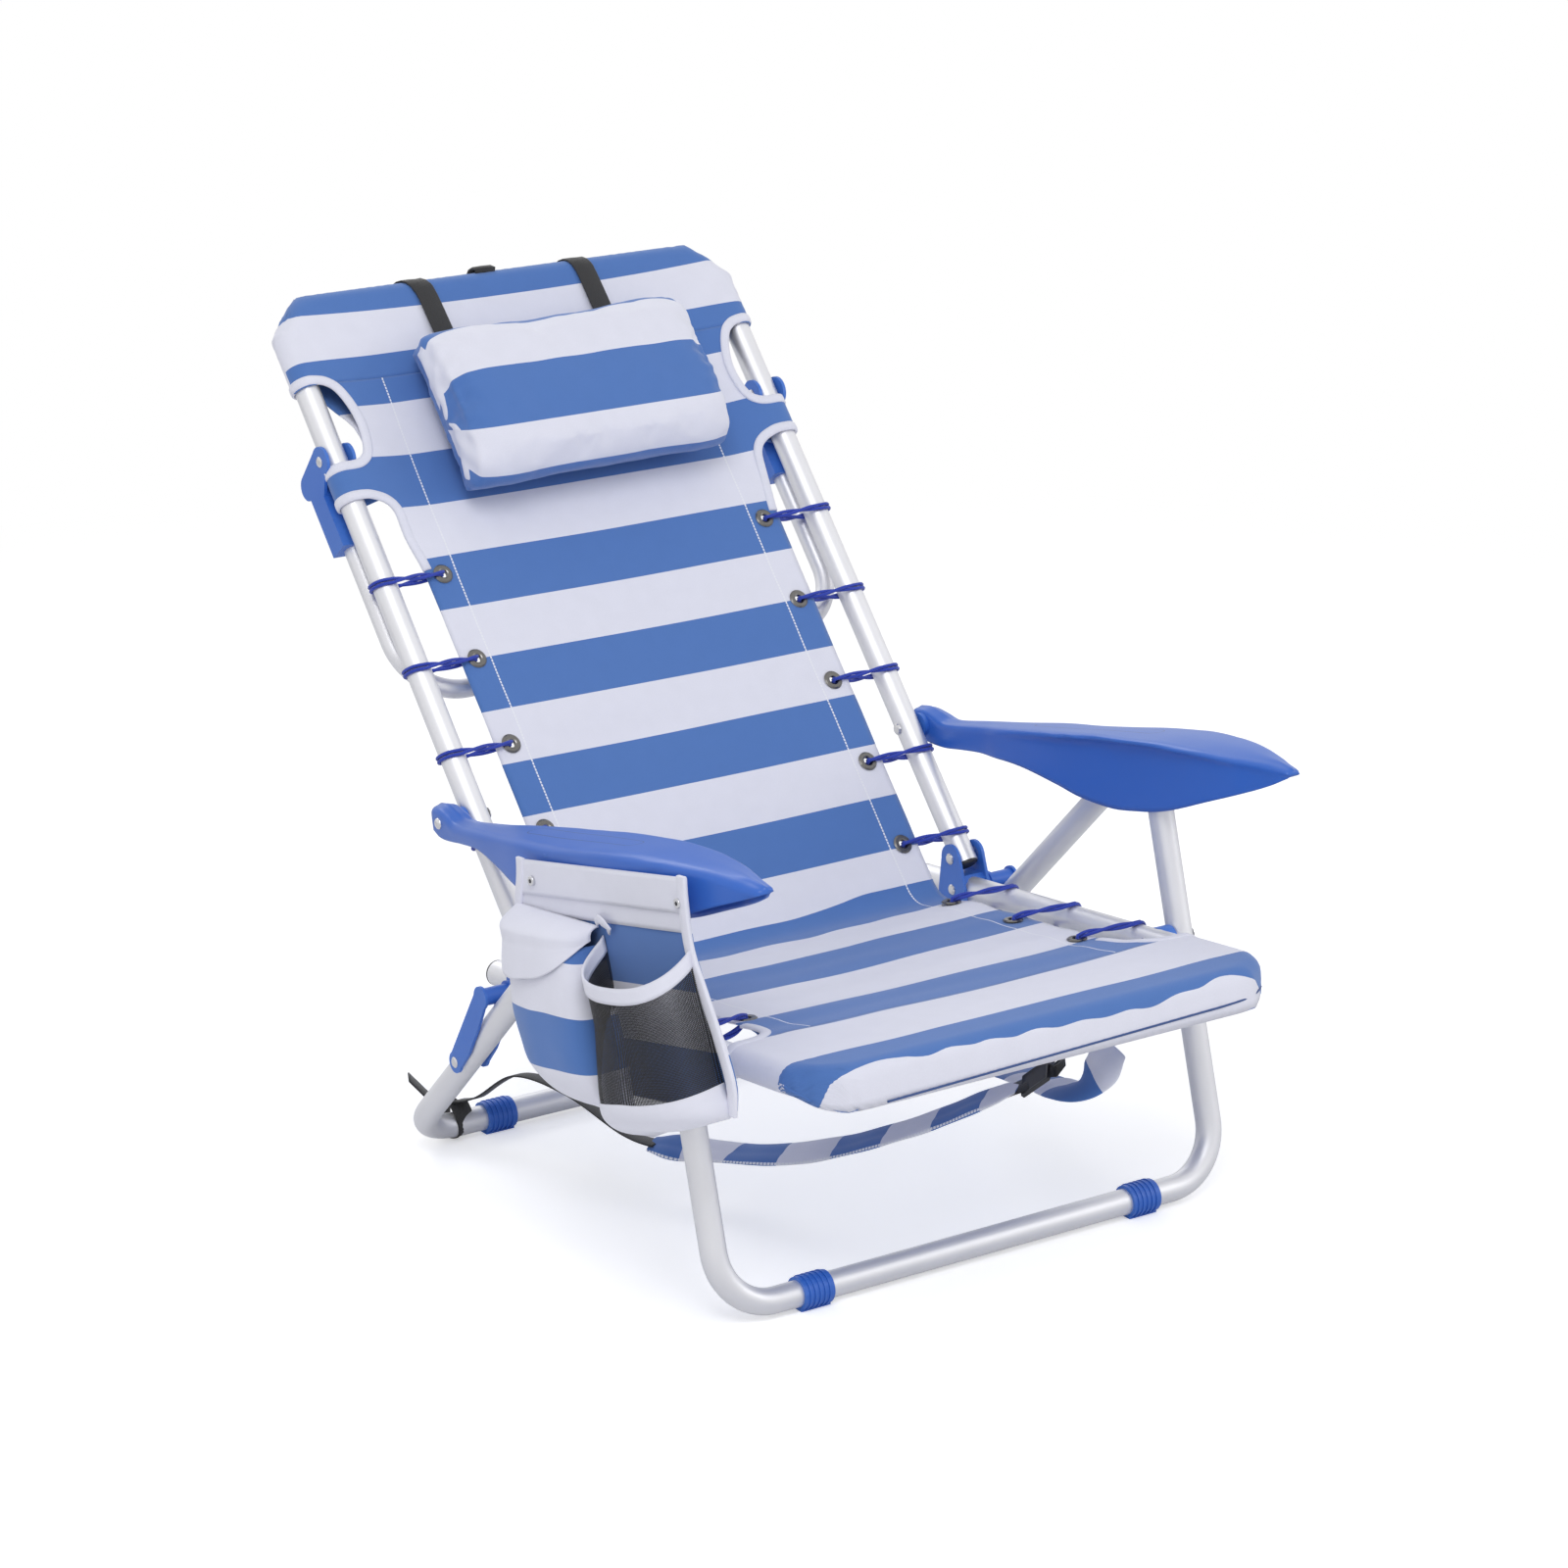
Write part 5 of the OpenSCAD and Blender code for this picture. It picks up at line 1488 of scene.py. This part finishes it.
def makeWeb(name, route, lean, wide, body="seat"):
    points = smoothPath([onSide(*spot) for spot in carryRoutes[route]], 3 * mm)
    ups = [Vector(lean)] * len(points) if not callable(lean) else [lean(point) for point in points]
    shape = ribbonShape(points, ups, flatBand(wide, carry["thick"], 0.1))
    piece = finishMesh(name, shape, "webbing", body, outwards=True)
    return piece


def makeBuckle():  # a ladder lock on the web's front end
    shape = bmesh.new()
    bmesh.ops.create_cube(shape, size=1)
    bmesh.ops.scale(shape, verts=shape.verts, vec=[side * mm for side in buckleFacts["size"]])
    ends = [face for face in shape.faces if abs(face.normal.z) > 0.9]
    bmesh.ops.inset_region(shape, faces=ends, thickness=buckleFacts["rim"] * mm)
    for face in ends:
        bmesh.ops.translate(shape, verts=face.verts, vec=-face.normal * (buckleFacts["recess"] * mm))
    bmesh.ops.bevel(shape, geom=shape.edges, offset=buckleFacts["edge"] * mm, affect="EDGES", segments=2,
                    profile=0.5, material=-1)
    ahead = (onSide(*buckleFacts["to"]) - onSide(*buckleFacts["from"])).normalized()
    side = ahead.cross(Vector(webFace)).normalized()
    turn = Matrix((ahead, side, side.cross(ahead))).transposed().to_4x4()
    shape.transform(Matrix.Translation(onSide(*buckleFacts["at"])) @ turn)
    bmesh.ops.recalc_face_normals(shape, faces=shape.faces)
    mesh = toMesh(shape, "carryBuckle")
    mesh.materials.append(materials["black"])
    piece = link("carryBuckle", mesh, "seat")
    return piece


materials["padCloth"] = clothMaterial("padCloth", stitches=[("u", 0.0283, 0.0036)])
padLeft = makePad("carryPadLeft", "padLeft", (0.05, -0.32, 0.95), 0.4)
padRight = makePad("carryPadRight", "padRight", (-0.25, -0.35, 0.9), 1.4)
loopMiddle = onSide(*carry["loopMiddle"])
web = makeWeb("carryWeb", "web", (0.3, -0.3, 0.9), carry["web"])
loop = makeWeb("carryLoop", "loop", lambda p: (p - loopMiddle).normalized(), carry["web"], "rear_legs")
tail = makeWeb("carryTail", "tail", (0.6, -0.35, 0.7), carry["tail"], "rear_legs")
buckleWeb = makeWeb("buckleWeb", "buckleWeb", webFace, carry["buckleWeb"])
buckle = makeBuckle()
for soft in (loop, tail):  # tied round the rear bar, so they go with it
    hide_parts("strap_web_left")
squashes = ((padLeft, "strap_pad_left", 0.18, 0.3), (padRight, "strap_pad_right", 0.212, 0.12),
            (web, "strap_web_left", 0.15, 0.3), (buckle, "strap_buckle", 0.21, 0.3),
            (buckleWeb, "strap_buckle", 0.21, 0.3))
for soft, nodeName, height, keep in squashes:
    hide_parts(nodeName)
    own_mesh(soft)
print("carrying strap hung")


# pouch on the left armrest
pouch = {"out": 332.5, "corners": ((100, 372), (34, 190), (-271, 256), (-205, 437)),
         "stripes": (0.227, 0.271), "wide": 0.31, "tall": 0.19, "cup": 0.22,
         "cupDepth": 52, "cupFoot": 1.176, "flapRoll": 0.42, "flapFall": 0.055}


def onPanel(u, v, out):  # u from rear to front, v from top to bottom, out from the panel's face
    a, b, c, d = pouch["corners"]
    y = mix(mix(a[0], d[0], u), mix(b[0], c[0], u), v)
    z = mix(mix(a[1], d[1], u), mix(b[1], c[1], u), v)
    return onSide(-(pouch["out"] + 2 + out), y, z)


def panelStripe(v):
    first, pitch = pouch["stripes"]
    return (v - first) / pitch


def makeClothSheet(name, columns, rows, place, key, thick):
    piece = finishMesh(name, sheetShape(columns, rows, place), key, "armrest_left")
    thicken(piece, thick, 0)
    return piece


rearEdge = [(-0.05, 0.105), (0.05, 0.085), (0.18, 0.045), (0.4, 0.004), (0.7, 0.0), (1.06, 0.0)]
frontEdge = [(-0.05, 0.985), (0.1, 0.965), (0.3, 0.952), (0.6, 0.995), (0.9, 1.028), (1.06, 1.0)]


def panelU(f, v):
    return mix(track(rearEdge, v), track(frontEdge, v), f)


def panelPlace(f, g):
    corner = max(0, f - 0.93) / 0.07
    v = mix(-0.03, mix(1.03, 1.055, f) - 0.03 * corner ** 2, g)
    u = panelU(f, v)
    bow = -1.0 + 1.2 * waves(u * 3, v * 3, 1.0) * smooth(0, 0.3, v)
    return onPanel(u, v, bow), u * pouch["wide"], v * pouch["tall"], panelStripe(v)


def headerPlace(low, high, out):
    def place(f, g):
        v = mix(low, high, g)
        u = panelU(f, v)
        lift = out + 0.5 * waves(u * 6, v * 9, 2.0)
        return onPanel(u, v, lift), u * pouch["wide"], v * pouch["tall"], 0.5
    return place


# rows down a shell: where, how far out, its rear and its front edge
pocketRows = [(0.235, 30, 0.085, 0.435), (0.27, 37, 0.065, 0.452), (0.34, 42, 0.045, 0.466),
              (0.5, 45, 0.03, 0.474), (0.68, 46, 0.024, 0.478), (0.82, 46, 0.04, 0.478),
              (0.9, 44, 0.075, 0.477), (0.97, 37, 0.115, 0.474), (1.02, 27, 0.16, 0.47),
              (1.05, 15, 0.21, 0.462), (1.066, 4, 0.25, 0.45), (1.068, -0.5, 0.27, 0.44)]


def shellSpot(rows, v, f, rearPower, frontPower):
    out, rear, front = (track([(row[0], row[column]) for row in rows], v) for column in (1, 2, 3))
    c, s = math.cos(math.pi * (1 - f)), math.sin(math.pi * (1 - f))
    power = rearPower if c < 0 else frontPower
    across = math.copysign(abs(c) ** (2 / power), c)
    return mix(rear, front, (across + 1) / 2), out * max(s, 0) ** (2 / power)


def pocketPlace(f, g):
    row = mix(mix(0.245, 0.33, smooth(0.3, 1, f)), 1.068, g ** 0.93)
    v = row + max(row - 0.5, 0) * mix(0.02, 0.13, smooth(0, 1, f))
    u, out = shellSpot(pocketRows, row, f, 2.25, 4.4)
    droop = 1.4 * waves(u * 9, v * 7, 3.0) * smooth(0, 10, out)
    count = (v - 0.61 - 0.045 * smooth(0.3, 0.9, f)) / mix(0.29, 0.25, f) + 2
    return onPanel(u, v, out + droop), f * 0.24, v * pouch["tall"], count


flapEdge = [(0, 0.35), (0.12, 0.42), (0.3, 0.47), (0.45, 0.478), (0.6, 0.445), (0.8, 0.375), (1, 0.305)]


def flapPlace(f, g):
    top = 0.185 + 0.062 * f
    low = track(flapEdge, f)
    roll, knee = pouch["flapRoll"], top + pouch["flapFall"]
    rise = min(1, g / roll) * math.pi / 2
    v = mix(top, knee, 1 - math.cos(rise)) if g < roll else mix(knee, low, (g - roll) / (1 - roll))
    u, out = shellSpot(pocketRows, max(v, 0.32), mix(0.03, 0.97, f), 2.25, 3.4)
    u = mix(mix(0.05, 0.475, f), u + 0.014 * (f - 0.5) * 2, math.sin(rise))
    out = (out + 1.6 + 1.2 * smooth(0.7, 1, g)) * math.sin(rise)
    out += 1.2 * waves(u * 10, v * 9, 6.0) * math.sin(rise)
    return onPanel(u, v, out + 1.8), u * pouch["wide"], g * 0.06, 0.5


cupRows = [(0.28, 52, 0.485, 0.945), (0.45, 52, 0.49, 0.95), (0.6, 52, 0.48, 0.96),
           (0.85, 54, 0.452, 0.972), (0.97, 54, 0.432, 0.982), (1.05, 52, 0.427, 0.987),
           (1.1, 48, 0.432, 0.985), (1.14, 40, 0.445, 0.978), (1.165, 26, 0.465, 0.965),
           (1.174, 11, 0.495, 0.94), (1.176, -0.6, 0.54, 0.92)]


def cupEdge(f):  # the net's lower edge drops towards the rear
    return 1.05 - 0.14 * f


def cupSpot(v, f, extra=0.0):
    u, out = shellSpot(cupRows, v, f, 2.3, 2.9)
    depth = pouch["cupDepth"]
    tilt = 0.13 * (max(out, 0) / depth) ** 0.8 * smooth(0.95, 0.35, v)
    tilt += 0.03 * out / depth * smooth(1.15, 0.9, v)
    low = 0.9 + (v - 0.9) * mix(1.16, 0.62, smooth(0, 1, f)) if v > 0.9 else v
    return onPanel(u, low + tilt, out + extra + 0.9 * waves(u * 8, v * 5, 8.0) * smooth(0, 12, out))


def netPlace(f, g):
    v = mix(0.3, cupEdge(f), g)
    return cupSpot(v, f), f * pouch["cup"], v * pouch["tall"], 0.5


def basePlace(f, g):
    v = mix(cupEdge(f) - 0.012, pouch["cupFoot"], g ** 0.9)
    puff = 1.6 * math.sin(math.pi * min(1, g * 1.3)) * math.sin(math.pi * f)
    return cupSpot(v, f, 0.6 + puff), f * pouch["cup"], v * pouch["tall"], 0.5


def rimPlace(f, g):
    return cupSpot(mix(0.287, 0.362, g), f, 1.1), f * pouch["cup"], g * 0.014, 0.5


pouchPanel = makeClothSheet("pouchPanel", 60, 40, panelPlace, "plainStriped", 1.4)
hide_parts("pouch_panel")
makeClothSheet("pouchHeader", 48, 8, headerPlace(-0.03, 0.135, 1.2), "white", 1.8)
makeClothSheet("pouchHeaderUnder", 48, 10, headerPlace(0.0, 0.227, -0.1), "white", 1.4)
pocket = makeClothSheet("pouchPocket", 64, 44, pocketPlace, "plainStriped", 1.3)
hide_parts("pouch_pocket")
flap = makeClothSheet("pouchFlap", 44, 34, flapPlace, "white", 1.6)
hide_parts("pouch_flap")
net = makeClothSheet("cupNet", 56, 30, netPlace, "net", 0.5)
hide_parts("cup_holder")
base = makeClothSheet("cupBase", 56, 18, basePlace, "white", 1.4)
rim = makeClothSheet("cupRim", 56, 4, rimPlace, "white", 2.4)


panelOut = onPanel(0, 0, 1) - onPanel(0, 0, 0)


def pouchBand(name, spots, wide, thick):
    points = [onPanel(u, v, out) for u, v, out in spots]
    route = smoothPath(points, 5 * mm)
    h, t = wide / 2, thick / 2
    section = [(-h, -t), (-h - 0.6, 0), (-h, t), (0, t + 0.5), (h, t), (h + 0.6, 0), (h, -t), (0, -t)]
    shape = ribbonShape(route, [panelOut.normalized()] * len(route), section)
    piece = finishMesh(name, shape, "binding", "armrest_left", outwards=True)
    addModifier(piece, "BEVEL", width=0.0006, segments=2)


pouchBand("pouchBindingRear", [(track(rearEdge, v) + 0.003, v, 1.3)
                               for v in (-0.04, 0.05, 0.2, 0.4, 0.7, 1.0)], 10, 4)
pouchBand("pouchBindingFront", [(track(frontEdge, v) - 0.014, v, 1.3)
                                for v in (-0.04, 0.1, 0.3, 0.5, 0.7, 0.9, 1.0, 1.05)], 11, 4)
pouchBand("flapLoop", [(0.47, 0.226, 2.5), (0.5, 0.205, 5), (0.535, 0.215, 8), (0.55, 0.245, 6),
                       (0.53, 0.262, 3)], 7, 1.8)


# the black centre part is painted shade: a dark disc put where the snap's hole shows only shade
snapParts = (("Ring", (4.7, 1, 5.2), "steel"), ("HoleShade", (2.0, 4, 5.7), "black"))


def makeSnap(name, u, v):
    turn = panelOut.to_track_quat("Z", "Y").to_matrix().to_4x4()
    for part, (radius, low, high), key in snapParts:
        shape = bmesh.new()
        bmesh.ops.create_cone(shape, cap_ends=True, segments=32, radius1=radius * mm, radius2=radius * mm,
                              depth=(high - low) * mm)
        rim = [edge for edge in shape.edges if all(vert.co.z > 0 for vert in edge.verts)]
        bmesh.ops.bevel(shape, geom=rim, offset=0.6 * mm, affect="EDGES", segments=2, profile=0.5,
                        material=-1)
        shape.transform(Matrix.Translation(onPanel(u, v, (low + high) / 2)) @ turn)
        piece = finishMesh(name + part, shape, key, "armrest_left", outwards=True)
        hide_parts("pouch_rivets")


makeSnap("snapRear", 0.157, 0.065)
makeSnap("snapFront", 0.935, 0.086)
print("pouch sewn")
